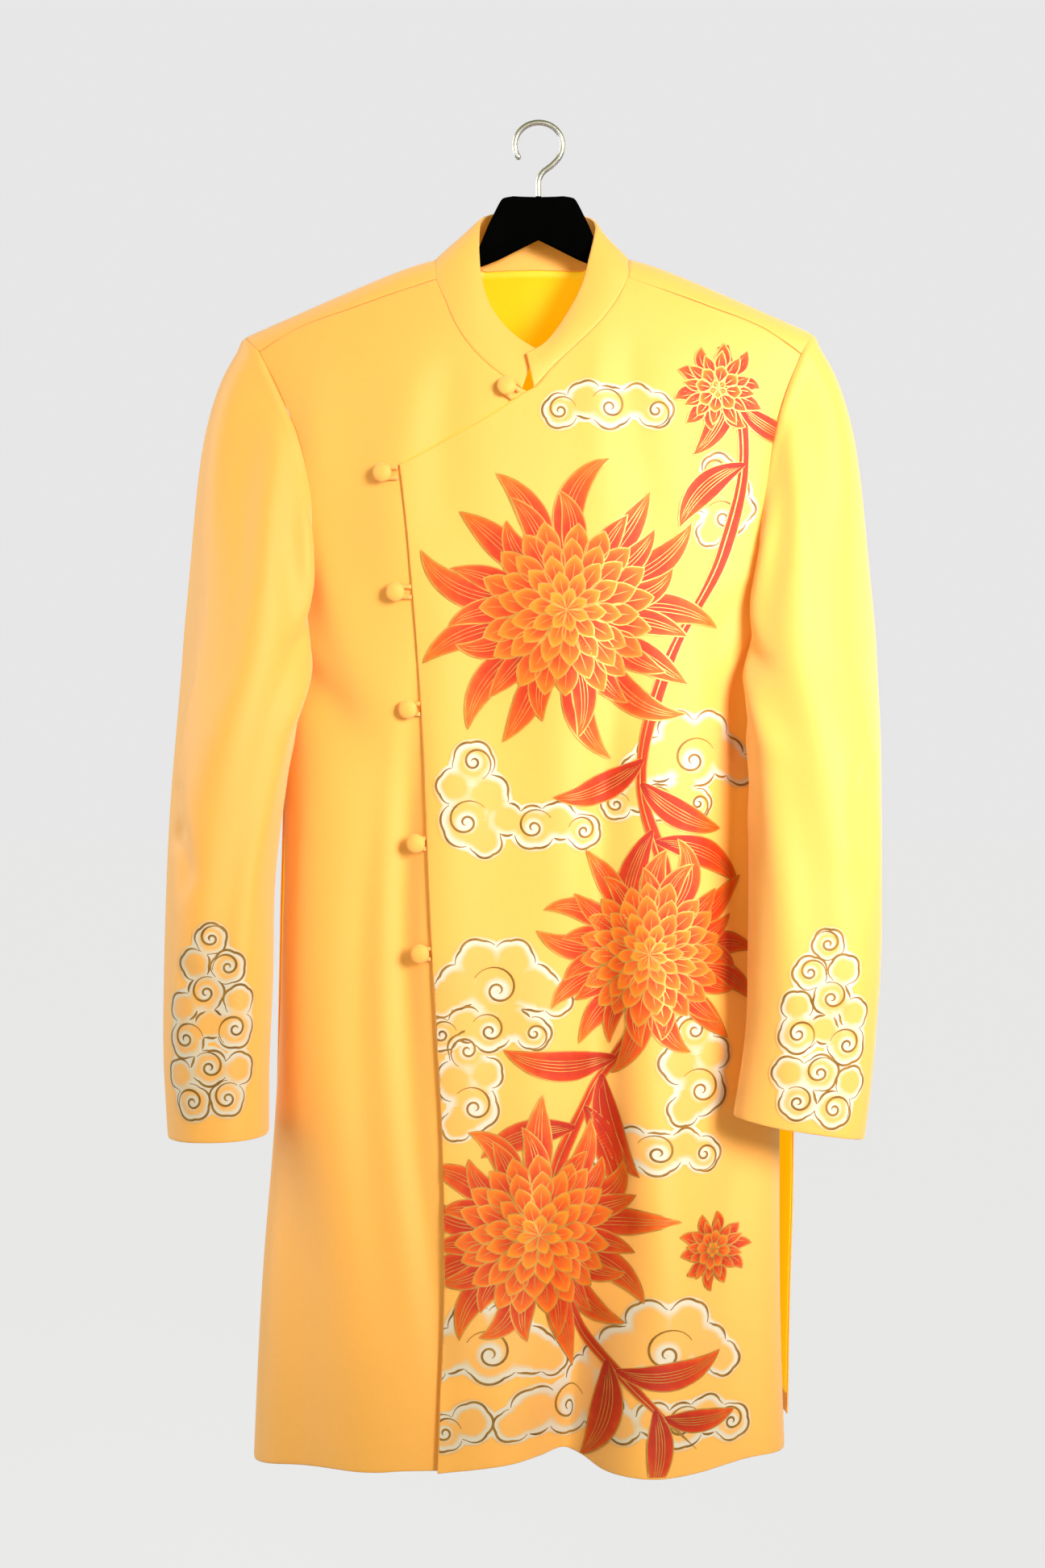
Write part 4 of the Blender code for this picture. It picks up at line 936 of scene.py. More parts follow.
# How the cap leaves the armhole: share of the way round it, angle on the sleeve, and direction.
CAP = [
    ("round", "angle", "out", "ahead", "up"),
    (0.00, 0, 0.55, 0.00, -0.74), (0.07, 32, 0.55, 0.12, -0.74), (0.15, 68, 0.50, 0.32, -0.72),
    (0.32, 138, 0.05, 0.80, -0.60), (0.43, 176, -0.10, 0.70, -0.70), (0.53, 214, 0.35, 0.05, -0.93),
    (0.63, 246, 0.25, -0.45, -0.85), (0.76, 284, 0.42, -0.42, -0.78), (0.90, 326, 0.52, -0.16, -0.76),
    (1.00, 360, 0.55, 0.00, -0.74),
]
CAP_ROWS = 7
LOWER_ROWS = 14
REST_GAP = 3.0
SIDE_SPREAD = 30.0
RIM_DEPTH = 12.0
ROPING = 1.6
SEAM_SINK = 0.3
CUFF_DROPS = (0.5, 0.4, 0.0, 0.0)

# Creases of the sleeves: angle round from the outside over the front, and distance down.
SLEEVE_CREASES_LEFT = [
    ("a0", "d0", "a1", "d1", "width0", "width1", "height"),
    (118, 150, 122, 650, 13, 11, 1.3), (96, 180, 100, 690, 12, 14, -1.6),
    (150, 260, 118, 330, 5, 12, -2.4), (158, 300, 124, 390, 5, 12, 1.6),
    (44, 120, 52, 420, 12, 16, -1.5), (20, 420, 40, 470, 6, 12, -1.4),
    (36, 450, 66, 505, 6, 12, -1.6), (70, 90, 74, 330, 10, 14, 1.3),
    (300, 140, 290, 420, 12, 16, -1.8), (262, 170, 256, 620, 12, 14, 1.5),
    (232, 300, 262, 380, 6, 14, -2.2), (320, 430, 290, 500, 6, 14, -1.7), (60, 560, 92, 600, 6, 14, -1.0),
]
SLEEVE_CREASES_RIGHT = [
    ("a0", "d0", "a1", "d1", "width0", "width1", "height"),
    (112, 180, 116, 660, 12, 12, 1.1), (92, 150, 92, 640, 13, 16, -1.3),
    (152, 270, 116, 340, 5, 12, -2.3), (146, 320, 112, 410, 5, 12, 1.4),
    (48, 110, 54, 430, 12, 16, -1.2), (26, 400, 54, 470, 6, 13, -1.6),
    (24, 440, 66, 520, 6, 14, -1.2), (70, 100, 72, 300, 10, 14, 1.2),
    (300, 150, 292, 430, 12, 16, -1.7), (258, 180, 254, 600, 12, 14, 1.5),
    (232, 290, 262, 370, 6, 14, -2.2), (322, 420, 290, 500, 6, 14, -1.7), (66, 590, 100, 620, 6, 14, -0.9),
]


def rest_on_side(points, side):
    """Sleeve points moved out where they would lie inside the garment's side. The side is taken as
    an oval; points are eased out to it and REST_GAP beyond."""
    out, y = points[..., 0] * side, points[..., 1]
    down = np.maximum(-points[..., 2], 0.0)
    spread = SIDE_SPREAD * step((down - VENT_TOP) / VENT_RUN)
    front_depth = RIM_DEPTH + (FRONT_DEPTH - RIM_DEPTH) * (1.0 - np.exp(-down / FILL_HEIGHT))
    depth = np.where(y < 0, front_depth, BACK_DEPTH - 1.0) + 2.0 + spread
    share = np.clip(np.abs(y) / depth, 0.0, 1.0)
    reach = half_width(down, np.full_like(out, side), y < 0)
    edge = reach * np.maximum(1.0 - share ** 2.5, 0.0) ** 0.4 + REST_GAP
    over = (out - edge) / 2.0
    pushed = edge + 2.0 * np.where(over > 20.0, over, np.log1p(np.exp(np.minimum(over, 20.0))))
    result = np.array(points)
    result[..., 0] = side * np.where(share < 1.0, np.maximum(pushed, out), out)
    return result


def sleeve_ring(table, side, down, angle):
    """One ring of the sleeve, a squarish oval, at a distance below the neck point."""
    x, y, half_x, half_y, turn, rise = (read(table, "down", name, down) for name in table[0][1:])
    turn, a = np.radians(turn), np.radians(angle)
    out = half_x * np.sign(np.cos(a)) * np.abs(np.cos(a)) ** 0.9
    ahead = half_y * np.sign(np.sin(a)) * np.abs(np.sin(a)) ** 0.9
    px = side * (x + out * np.cos(turn) - ahead * np.sin(turn))
    py = y - (out * np.sin(turn) + ahead * np.cos(turn))
    return np.stack([px, py, np.broadcast_to(-down - rise * np.cos(a), px.shape)], -1)


def sleeve_rings(table, side, front_arm, strip_side, back_arm):
    """The sleeve's coarse rings, from the armhole over the cap to the cuff, and its angles."""
    loop = np.concatenate([strip_side[1:4][::-1], front_arm, back_arm[1:-1][::-1], strip_side[4:][::-1]])
    edge, normal = torso(loop[:, 0], loop[:, 1]), torso_normal(loop[:, 0], loop[:, 1])
    tangent = unit(np.roll(edge, -1, axis=0) - np.roll(edge, 1, axis=0))
    lengths = np.linalg.norm(np.diff(np.concatenate([edge, edge[:1]]), axis=0), axis=1)
    share = np.concatenate([[0.0], np.cumsum(lengths)[:-1]]) / lengths.sum()
    away = -unit(np.cross(tangent, normal)) * side
    start = edge + away * 0.15
    angle = read(CAP, "round", "angle", share)
    leave = unit(np.stack([side * read(CAP, "round", "out", share), -read(CAP, "round", "ahead", share),
                           read(CAP, "round", "up", share)], -1))
    downs = table[1][0] + (table[-1][0] - table[1][0]) * np.linspace(0.0, 1.0, LOWER_ROWS)
    hanging = [sleeve_ring(table, side, np.full(len(angle), down), angle) for down in downs]
    lower = rest_on_side(np.stack(hanging), side)
    arrive = unit(lower[1] - lower[0])
    reach = np.linalg.norm(lower[0] - start, axis=1, keepdims=True)
    t = np.linspace(0.0, 1.0, CAP_ROWS + 1)[:-1, None, None]
    rings = cubic(t, start, lower[0], reach * leave, reach * arrive)
    below = step((-rings[..., 2] - 296.0) / 16.0)[..., None]
    rings = rings * (1.0 - below) + rest_on_side(rings, side) * below
    return np.concatenate([rings, lower]), angle


def finer_tube(rings, per_row, per_col):
    """Coarse closed rings made finer along and round."""
    rows = finer_axis(rings, per_row, (), (0.03, 0.1, 0.25))
    wrapped = np.concatenate([rows[:, -3:], rows, rows[:, :3]], axis=1)
    cols = finer_axis(np.swapaxes(wrapped, 0, 1), per_col, (), ())
    return np.swapaxes(cols[3 * per_col:(3 + rings.shape[1]) * per_col], 0, 1)


def make_sleeve(name, node, table, creases, side, front_arm, strip_side, back_arm):
    """One sleeve as a shell with its roped cap, creases and turned cuff."""
    rings, angle = sleeve_rings(table, side, front_arm, strip_side, back_arm)
    fine = finer_tube(rings, 4 * FINE, 3 * FINE)
    column_at = np.arange(fine.shape[1]) / (3.0 * FINE)
    around = np.interp(column_at, np.arange(len(angle) + 1), np.append(angle, 360.0))
    by_row = np.gradient(fine, axis=0)
    by_col = np.roll(fine, -1, axis=1) - np.roll(fine, 1, axis=1)
    out = unit(np.cross(by_col, by_row))
    out = out * np.sign(np.sum(out * (fine - fine.mean(axis=1, keepdims=True))))
    down = -fine[..., 2]
    a = np.broadcast_to(around[None], down.shape)
    wrinkles = crease_height(creases, a, down)
    from_seam = np.linalg.norm(fine - fine[:1], axis=-1)
    top = step((150.0 - np.abs(((a + 180.0) % 360.0) - 180.0 - 30.0)) / 70.0) * step((240.0 - down) / 90.0)
    roping = (ROPING * top * np.exp(-((from_seam - 6.0) / 4.5) ** 2)
              - SEAM_SINK * np.exp(-(from_seam / 1.5) ** 2))
    height = wrinkles * step(from_seam / 30.0) + roping + ripple(a * 0.9, -down) * step(from_seam / 20.0)
    ends = edge_drop(fine.shape[0], fine.shape[1], CUFF_DROPS)
    outer = fine + out * (height - ends)[..., None]
    inner = fine + out * (height - CLOTH)[..., None]
    made = shell(name, outer, inner, crepe, round_cols=True)
    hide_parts(node)
    wrapped = np.concatenate([outer, outer[:, :1]], axis=1)
    return made, outer, out, area_of(wrapped)


sleeve_right, right_outer, right_out, right_area = make_sleeve(
    "right_sleeve", "sleeve_right", SLEEVE_LEFT, SLEEVE_CREASES_LEFT, -1.0, left_arm, left_strip[:, -1],
    left_back_arm)
sleeve_left, left_outer, left_out, left_area = make_sleeve(
    "left_sleeve", "sleeve_left", SLEEVE_RIGHT, SLEEVE_CREASES_RIGHT, 1.0, right_arm, right_strip[:, -1],
    right_back_arm)


# Stand collar: a doubled band 47 mm high at the back and 36 mm at the front ends, stiffened, so it is
# 2.4 mm thick, swells 2.5 mm outward and leans in on the hanger's plate. Its ends cross.

COLLAR_TOP = [
    ("x", "y", "z"),
    (2.4, -38.5, -80.5), (-8, -37, -74.5), (-17, -36, -67), (-27, -33, -56.6), (-34.6, -29.5, -43.7),
    (-39.8, -24, -28), (-42.4, -17, -9), (-42.8, -8, 12), (-42.0, 1, 24), (-36, 12, 30), (-20, 17.5, 34),
    (4, 18.5, 35), (28, 17.5, 34), (43, 12, 29), (49.5, 1, 23), (48.8, -8, 13), (45, -16, -3.4),
    (39.5, -23, -25.6), (31.5, -29.5, -43.7), (22.3, -34.5, -59), (11, -42, -74), (3.2, -46, -80.5),
    (-5.6, -48.5, -84.5),
]
COLLAR_WALL = 2.4
COLLAR_SINK = 0.2
COLLAR_SWELL = 2.5
COLLAR_WAVE = 0.25
COLLAR_DROPS = (0.3, 0.6, 0.6, 0.6)
INSIDE_BASE = np.array([0.0, -10.0, -20.0])
INSIDE_BAND = np.array([2.0, -12.0, -20.0])

back_neck_line = np.concatenate([left_neck_side[1:], neck_middle[1:-1], right_neck_side[1:][::-1]])
base_line = np.concatenate([left_neck[::-1], back_neck_line, right_neck])
base_points = torso(base_line[:, 0], base_line[:, 1])
base_normal = torso_normal(base_line[:, 0], base_line[:, 1])
right_part = len(left_neck) + len(back_neck_line)
lift_base = np.zeros(len(base_line))
lift_base[right_part:] = over_lift(base_points[right_part:])
base_points = base_points + base_normal * (lift_base - COLLAR_WALL / 2.0)[:, None]
inward = unit(np.cross(unit(np.gradient(base_points, axis=0)), base_normal))
inward = inward * np.sign(np.sum(inward * (INSIDE_BASE - base_points), axis=1).sum())
base_points = base_points + inward * COLLAR_SINK
length = run_along(base_points)
top_fine = along(COLLAR_TOP[1:], 600)
top_share = np.linspace(0.0, 1.0, 601)
top_points = np.stack([np.interp(length / length[-1], top_share, top_fine[:, k]) for k in range(3)], 1)
rise_up = np.linspace(0.0, 1.0, 4)[:, None, None]
band = base_points * (1.0 - rise_up) + top_points * rise_up
band = finer(band, 6 * FINE, 5 * FINE, edges=(0.04, 0.12))
band_out = unit(np.cross(np.gradient(band, axis=1), np.gradient(band, axis=0)))
band_out = band_out * np.sign(np.sum(band_out * (band - INSIDE_BAND)))
up_share = np.linspace(0.0, 1.0, band.shape[0])[:, None]
run_share = np.linspace(0.0, 1.0, band.shape[1])[None]
bulge = np.sin(up_share * math.pi)
swell = bulge * COLLAR_SWELL + COLLAR_WAVE * np.sin(run_share * 41.0 + 3.0 * up_share) * bulge
band = band + band_out * swell[..., None]
collar_drop = edge_drop(band.shape[0], band.shape[1], COLLAR_DROPS)[..., None]
collar_outer = band + band_out * (COLLAR_WALL / 2.0 - collar_drop)
collar_inner = band - band_out * (COLLAR_WALL / 2.0 - collar_drop)
collar = shell("stand_collar", collar_outer, collar_inner, crepe)
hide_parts("collar")


# Six covered buttons, 15 mm domes on short shanks, sewn to the under front. Each is held by a loop of
# rouleau cord 3.4 mm thick, two strands side by side from under the over front's edge.

BUTTONS = [
    ("x", "z", "to_edge", "slope"),
    (-20.8, -111.9, 9.4, -42), (-117.3, -179.1, 11.7, 0), (-107.1, -272.0, 12.1, 0),
    (-98.0, -363.5, 9.3, 0), (-91.9, -468.9, 8.2, 0), (-88.4, -555.4, 8.6, 0),
]
BUTTON_PROFILE = [
    ("radius", "height"),
    (0.2, 0.4), (1.8, 0.5), (1.8, 2.5), (1.9, 4.4), (4.2, 4.7), (6.6, 4.8), (7.2, 5.3), (7.5, 6.2),
    (7.4, 7.2), (6.8, 8.3), (5.6, 9.3), (4.2, 9.9), (2.6, 10.3), (1.0, 10.5), (0.1, 10.5),
]
CORD_RADIUS = 1.7
CORD_BEND = 4.0
CORD_LIFT = 0.55
CORD_SIDES = 14
BUTTON_SIDES = 40
PUCKER = 0.012


def tube_points(path, radius, sides):
    """Rings of points round a path, kept from twisting. radius is one number, or one for each."""
    path = np.asarray(path, float)
    forward = unit(np.gradient(path, axis=0))
    radius = np.broadcast_to(radius, len(path))
    side = unit(np.cross(forward[0], (0.0, 1.0, 0.2)))
    turn = np.arange(sides) * 2.0 * math.pi / sides
    rings = []
    for point, ahead, r in zip(path, forward, radius):
        side = unit(side - np.dot(side, ahead) * ahead)
        up = np.cross(ahead, side)
        rings.append(point + r * (np.cos(turn)[:, None] * side + np.sin(turn)[:, None] * up))
    return np.array(rings)


def ring_solid(name, rings, look):
    """A solid through closed rings; its ends are drawn together to almost a point each."""
    rings = np.asarray(rings, float)
    caps = []
    for end in (rings[:1], rings[-1:]):
        middle = np.repeat(end.mean(axis=1, keepdims=True), end.shape[1], axis=1)
        caps.append(middle * 0.98 + end * 0.02)
    rings = np.concatenate([caps[0], rings, caps[1]])
    faces = cells(rings.shape[0], rings.shape[1], True).reshape(-1, 4)
    points = rings.reshape(-1, 3)
    volume = np.sum(facing(points, faces) * (points[faces[:, 0]] - points.mean(axis=0)))
    return piece(name, points, faces if volume > 0 else faces[:, ::-1], look)


def body_point(x, z, height):
    """Point above the creased body surface at a front view position."""
    s, w = place(x, z)
    return skin(s, w, np.broadcast_to(height, np.shape(s)))[0]


ROULEAU = (0.88, 0.39, 0.015, 1.0)
cord_look, cord_shader = woven_material("yellow_rouleau", ROULEAU, 0.52, CREPE_SPECULAR, CREPE_SHEEN, 0.3)
set_inputs(cord_shader, Sheen_Tint=FUZZ)
for number, (button_x, button_z, to_edge, slope) in enumerate(BUTTONS[1:], 1):
    s, w = place(np.array([button_x]), np.array([button_z]))
    foot, up = skin(s, w, np.zeros(1))
    foot, up = foot[0], up[0]
    sideways = unit(np.cross(up, (0.0, 0.0, 1.0)))
    upward = np.cross(sideways, up)
    profile = along(BUTTON_PROFILE[1:], 40)
    turn = np.arange(BUTTON_SIDES) * 2.0 * math.pi / BUTTON_SIDES
    pucker = 1.0 + PUCKER * np.sin(turn * 9.0 + number) * np.sin(turn * 4.0)
    spoke = np.cos(turn)[:, None] * sideways + np.sin(turn)[:, None] * upward
    rings = [foot + up * height + radius * pucker[:, None] * spoke for radius, height in profile]
    button = ring_solid(f"covered_button_{number}", rings, crepe)
    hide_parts(f"button_{number}")
    bend = np.radians(np.linspace(90.0, 270.0, 15))
    stretch = np.linspace(to_edge, to_edge * 0.1, 8)
    ahead = np.concatenate([stretch, CORD_BEND * np.cos(bend), stretch[::-1]])
    across = np.concatenate([[CORD_BEND] * 8, CORD_BEND * np.sin(bend), [-CORD_BEND] * 8])
    lean = math.radians(slope)
    path_x = button_x + ahead * math.cos(lean) - across * math.sin(lean)
    path_z = button_z + ahead * math.sin(lean) + across * math.cos(lean)
    path = body_point(path_x, path_z, CORD_LIFT + CORD_RADIUS)
    cord = tube_points(path, CORD_RADIUS, CORD_SIDES)
    loop = ring_solid(f"rouleau_loop_{number}", cord, cord_look)
    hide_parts(f"loop_{number}")


# The lining's edge shows as a bright line under the slanted edge of the over front, 0.8 mm wide.

EDGE_DOWN = 1.15
EDGE_OUT = 0.25
EDGE_RADIUS = 0.5

slant_line = placed_line(SLANT_EDGE[1:], 60)
slant_lift = over_lift(torso(slant_line[:, 0], slant_line[:, 1]))
slant_base, slant_normal = skin(slant_line[:, 0], slant_line[:, 1], slant_lift)
slant_out = unit(np.cross(unit(np.gradient(slant_base, axis=0)), slant_normal))
slant_out = slant_out * np.sign(slant_out[30, 0] * -1.0)
edge_path = slant_base - slant_normal * EDGE_DOWN + slant_out * EDGE_OUT
ring_solid("slant_edge_lining", tube_points(edge_path[1:-1], EDGE_RADIUS, 8), satin)


# Hanger: moulded in black plastic, 406 mm wide, with a neck plate 62 mm wide at its top whose side
# edges are bevelled. Its arms broaden to 29 mm at the shoulders.

HANGER_MIDDLE = 4.3
PLATE_END = 56
HANGER_SIDES = 40
PLATE_SQUARE = 0.3
ARM_ROUNDING = 0.45
PLATE = [
    ("out", "top", "bottom", "half_depth"),
    (0, 43, 9.4, 6.5), (12, 43.3, 3.5, 6.5), (25, 43, -3, 6.5), (29.5, 41, -5.2, 6.5), (32.5, 36, -6.6, 6.5),
    (36, 29, -8, 6.6), (40, 21, -9.6, 6.8), (44, 11.5, -11, 7.0), (49, 0, -13, 7.2), (56, -8, -16, 7.4),
]
ARM = [
    ("out", "drop", "height", "half_depth"),
    (56, 5.5, 11, 6.0), (80, 5.5, 15, 6.2), (120, 5.5, 18, 8), (160, 5.5, 21, 12), (190, 6.0, 22, 14.5),
    (203, 9.0, 17, 12),
]


def hanger_section(out, side):
    """One closed section of the hanger in the y and z plane: a rounded box, rounder on the arms."""
    x = HANGER_MIDDLE + side * out
    if out <= PLATE_END:
        top, bottom = read(PLATE, "out", "top", out), read(PLATE, "out", "bottom", out)
        deep = read(PLATE, "out", "half_depth", out)
        power = PLATE_SQUARE
    else:
        top = shoulder_height(x) - read(ARM, "out", "drop", out)
        bottom = top - read(ARM, "out", "height", out)
        deep = read(ARM, "out", "half_depth", out)
        power = PLATE_SQUARE + ARM_ROUNDING * float(step((out - PLATE_END) / 40.0))
    turn = (np.arange(HANGER_SIDES) + 0.5) * 2.0 * math.pi / HANGER_SIDES
    across = deep * np.sign(np.cos(turn)) * np.abs(np.cos(turn)) ** power
    upright = np.sign(np.sin(turn)) * np.abs(np.sin(turn)) ** power
    height = (top + bottom) / 2.0 + (top - bottom) / 2.0 * upright
    return np.stack([np.full_like(across, x), across, height], -1)


def marked_material(name, marks_scale, dark, light, smoothest, roughest):
    """A hard material whose faint marks change its colour and roughness."""
    look, tree, shader = new_look(name)
    where = object_place(tree)
    marks = noise_node(tree, where, marks_scale, 4.0)
    tree.links.new(mix_colours(tree, marks, dark, light), shader.inputs["Base Color"])
    rough = tree.nodes.new("ShaderNodeMapRange")
    set_inputs(rough, To_Min=smoothest, To_Max=roughest)
    tree.links.new(marks, rough.inputs["Value"])
    tree.links.new(rough.outputs["Result"], shader.inputs["Roughness"])
    return look, tree, shader, where


PLASTIC_DARK = (0.0006, 0.0006, 0.0006, 1.0)
PLASTIC_LIGHT = (0.0016, 0.0016, 0.0016, 1.0)
plastic, plastic_tree, plastic_shader, plastic_place = marked_material(
    "black_moulded_plastic", 45.0, PLASTIC_DARK, PLASTIC_LIGHT, 0.34, 0.5)
add_relief(plastic_tree, plastic_shader, noise_node(plastic_tree, plastic_place, 900.0, 3.0), 0.12)
set_inputs(plastic_shader, Specular_IOR_Level=0.0)

outs = np.concatenate([[203.0, 202.2, 200.5, 197.0], np.linspace(190.0, 62.0, 26),
                       np.linspace(57.0, 25.0, 26), [20.0, 15.0, 10.0, 5.0]])
hanger_rings = [hanger_section(out, -1.0) for out in outs] + [hanger_section(0.0, 1.0)]
hanger_rings += [hanger_section(out, 1.0) for out in outs[::-1]]
hanger = ring_solid("suit_hanger", hanger_rings, plastic)
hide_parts("hanger")


# The wire hook, 4.6 mm thick, plated steel, stands in the plate's top and ends in a rounded tip.

WIRE_RADIUS = 2.3
HOOK_LINE = [
    ("x", "z"), (4.3, 43.15), (4.3, 50), (4.3, 56), (7.5, 62.5), (15, 68.5), (21.5, 76), (23.5, 84.5),
    (21, 93.5), (14, 100), (4.3, 102.3), (-5, 100), (-12, 93.5), (-14.7, 84.5), (-13.5, 78), (-10.5, 73),
]
STEEL_DARK = (0.66, 0.67, 0.69, 1.0)
STEEL_LIGHT = (0.78, 0.79, 0.80, 1.0)
steel, _, steel_shader, _ = marked_material("plated_steel", 160.0, STEEL_DARK, STEEL_LIGHT, 0.14, 0.32)
set_inputs(steel_shader, Metallic=1.0)
hook_line = along(HOOK_LINE[1:], 120)
hook_path = np.stack([hook_line[:, 0], np.zeros(len(hook_line)), hook_line[:, 1]], 1)
to_tip = np.linalg.norm(hook_path - hook_path[-1], axis=1)
short_of_tip = 1.0 - np.minimum(to_tip / WIRE_RADIUS, 1.0)
hook_radius = WIRE_RADIUS * np.sqrt(np.clip(1.0 - short_of_tip ** 2, 0.02, 1.0))
hook = ring_solid("wire_hook", tube_points(hook_path, hook_radius, 20), steel)
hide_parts("hanger_hook")


# Painted decoration: chrysanthemums with long curling petals on a bending stem, in orange red with
# gold lines, and white scroll clouds with soft edges and bronze lines, down the over front and at
# the cuffs. It is a generic design. Each stroke is a thin film 0.28 to under 1.5 mm above the cloth.

# Heights of the layers, and small steps that keep crossing strokes apart.
CLOUD_RISE = 0.28
LOBE_STEP = 0.012
OUTLINE_STEP = 0.04
CURL_STEP = 0.06
STEM_RISE = 0.70
LEAF_STEP = 0.06
PETAL_RISE = 0.92
PETAL_STEP = 0.012
LAYER_RISE = 0.07
RIM_STEP = 0.035
VEIN_STEP = 0.03
# Sizes of the strokes in millimetres, and shares of a lobe's radius.
SCALLOP = 0.10
CLOUD_BLEND = 3.5
WIDEST_BAND = 8.5
OUTLINE_WIDTH = 1.9
CURL_WIDTH = 1.8
PETAL_ROW = 2.7
LOBE_SWELL = 1.1
COVERED = 0.58
CURLS_CROSS = 0.86
SMALL_BLOSSOM = 40.0
# How far paint keeps from the over front's edges, and where the cuffs' clouds sit.
EDGE_MARGIN = 0.9
HEM_MARGIN = 1.5
SLANT_MARGIN = 1.2
CUFF_HEIGHT = -610.0
RIGHT_CUFF_X = -250.0
LEFT_CUFF_X = 224.0
films = {}


def chest_surface(x, z, rise):
    """Points over the over front at front view positions, kept within its edges."""
    edge = np.interp(-z, -column(OVER_EDGE, "z"), column(OVER_EDGE, "x")) + EDGE_MARGIN
    hem = np.interp(x, column(HEM_OVER, "x"), column(HEM_OVER, "z")) + HEM_MARGIN
    slant_x, slant_z = column(SLANT_EDGE, "x")[::-1], column(SLANT_EDGE, "z")[::-1]
    slant_top = np.interp(x, slant_x, slant_z, right=0.0) - SLANT_MARGIN
    s, w = place(np.maximum(x, edge), np.minimum(np.maximum(z, hem), slant_top))
    return skin(s, w, over_lift(torso(s, w)) + rise)[0]


def cuff_surface(outer, out, middle_x):
    """A sleeve's surface as a function of the distance round from its front line and the height."""
    heights = outer[:, :, 2].mean(axis=1)
    row = int(np.argmin(np.abs(heights - CUFF_HEIGHT)))
    middle = int(np.argmin(np.where(out[row, :, 1] < 0.0, np.abs(outer[row, :, 0] - middle_x), 1e6)))
    shift = outer.shape[1] // 2 - middle
    turned, turned_out = np.roll(outer, shift, axis=1), np.roll(out, shift, axis=1)
    run = run_along(turned[row])
    run = run - run[len(run) // 2]
    rightward = turned[row, len(run) // 2 + 1, 0] > turned[row, len(run) // 2, 0]
    if not rightward:
        run = -run
    order = np.argsort(run)

    def surface(x, z, rise):
        """Points over the sleeve at distances round, heights and rises over the cloth."""
        col = np.interp(x, run[order], np.arange(len(run))[order].astype(float))
        line = np.interp(-z, -heights, np.arange(len(heights)).astype(float))
        r = np.clip(line.astype(int), 0, len(heights) - 2)
        c = np.clip(col.astype(int), 0, len(run) - 2)
        fr, fc = (line - r)[:, None], (col - c)[:, None]

        def blend(field):
            """A field of the sleeve's grid between its rows and columns."""
            upper = field[r, c] * (1.0 - fc) + field[r, c + 1] * fc
            lower = field[r + 1, c] * (1.0 - fc) + field[r + 1, c + 1] * fc
            return upper * (1.0 - fr) + lower * fr
        return blend(turned) + unit(blend(turned_out)) * rise[:, None]
    return surface


def add_film(kind, surface, plane, rise, tone):
    """Keep one stroke: a grid of front view positions, its height over the cloth and its shade."""
    films.setdefault(kind, []).append((surface, plane, rise, np.broadcast_to(tone, plane.shape[:2])))


def lay_films(kind, name, look):
    """All strokes of a kind as one piece: grids of quads on their surfaces, facing the viewer."""
    points, faces, tones, start = [], [], [], 0
    for surface in dict.fromkeys(film[0] for film in films[kind]):
        strokes = [film for film in films[kind] if film[0] is surface]
        flat = np.concatenate([plane.reshape(-1, 2) for _, plane, _, _ in strokes])
        rises = np.concatenate([np.full(plane[..., 0].size, rise) for _, plane, rise, _ in strokes])
        points.append(surface(flat[:, 0], flat[:, 1], rises))
        for _, plane, _, tone in strokes:
            rows, cols = plane.shape[:2]
            quads = start + cells(rows, cols).reshape(-1, 4)
            down, up = plane[1:, 1:] - plane[:-1, :-1], plane[:-1, 1:] - plane[1:, :-1]
            turned_over = np.sum(down[..., 0] * up[..., 1] - down[..., 1] * up[..., 0]) < 0.0
            faces.append(quads[:, ::-1] if turned_over else quads)
            tones.append(tone.ravel())
            start += rows * cols
    made = piece(name, np.concatenate(points), np.concatenate(faces), look)
    layer = made.data.attributes.new("tone", "FLOAT", "POINT")
    layer.data.foreach_set("value", np.concatenate(tones).astype(np.float32))


def spokes(angle):
    """Directions in the plane at the given angles."""
    return np.stack([np.cos(angle), np.sin(angle)], 1)


def leftward(ways):
    """Directions in the plane turned a quarter to the left."""
    return np.stack([-ways[:, 1], ways[:, 0]], 1)


def pen_line(kind, surface, line, width, rise, tone=0.5, taper=0.12):
    """A drawn line: a ribbon along a plane line, thin at both ends."""
    line = np.asarray(line, float)
    across = leftward(unit(np.gradient(line, axis=0)))
    t = np.linspace(0.0, 1.0, len(line))
    half = 0.5 * width * (0.3 + 0.7 * step(t / taper) * step((1.0 - t) / taper))[:, None]
    add_film(kind, surface, np.stack([line - across * half, line + across * half], 1), rise, tone)


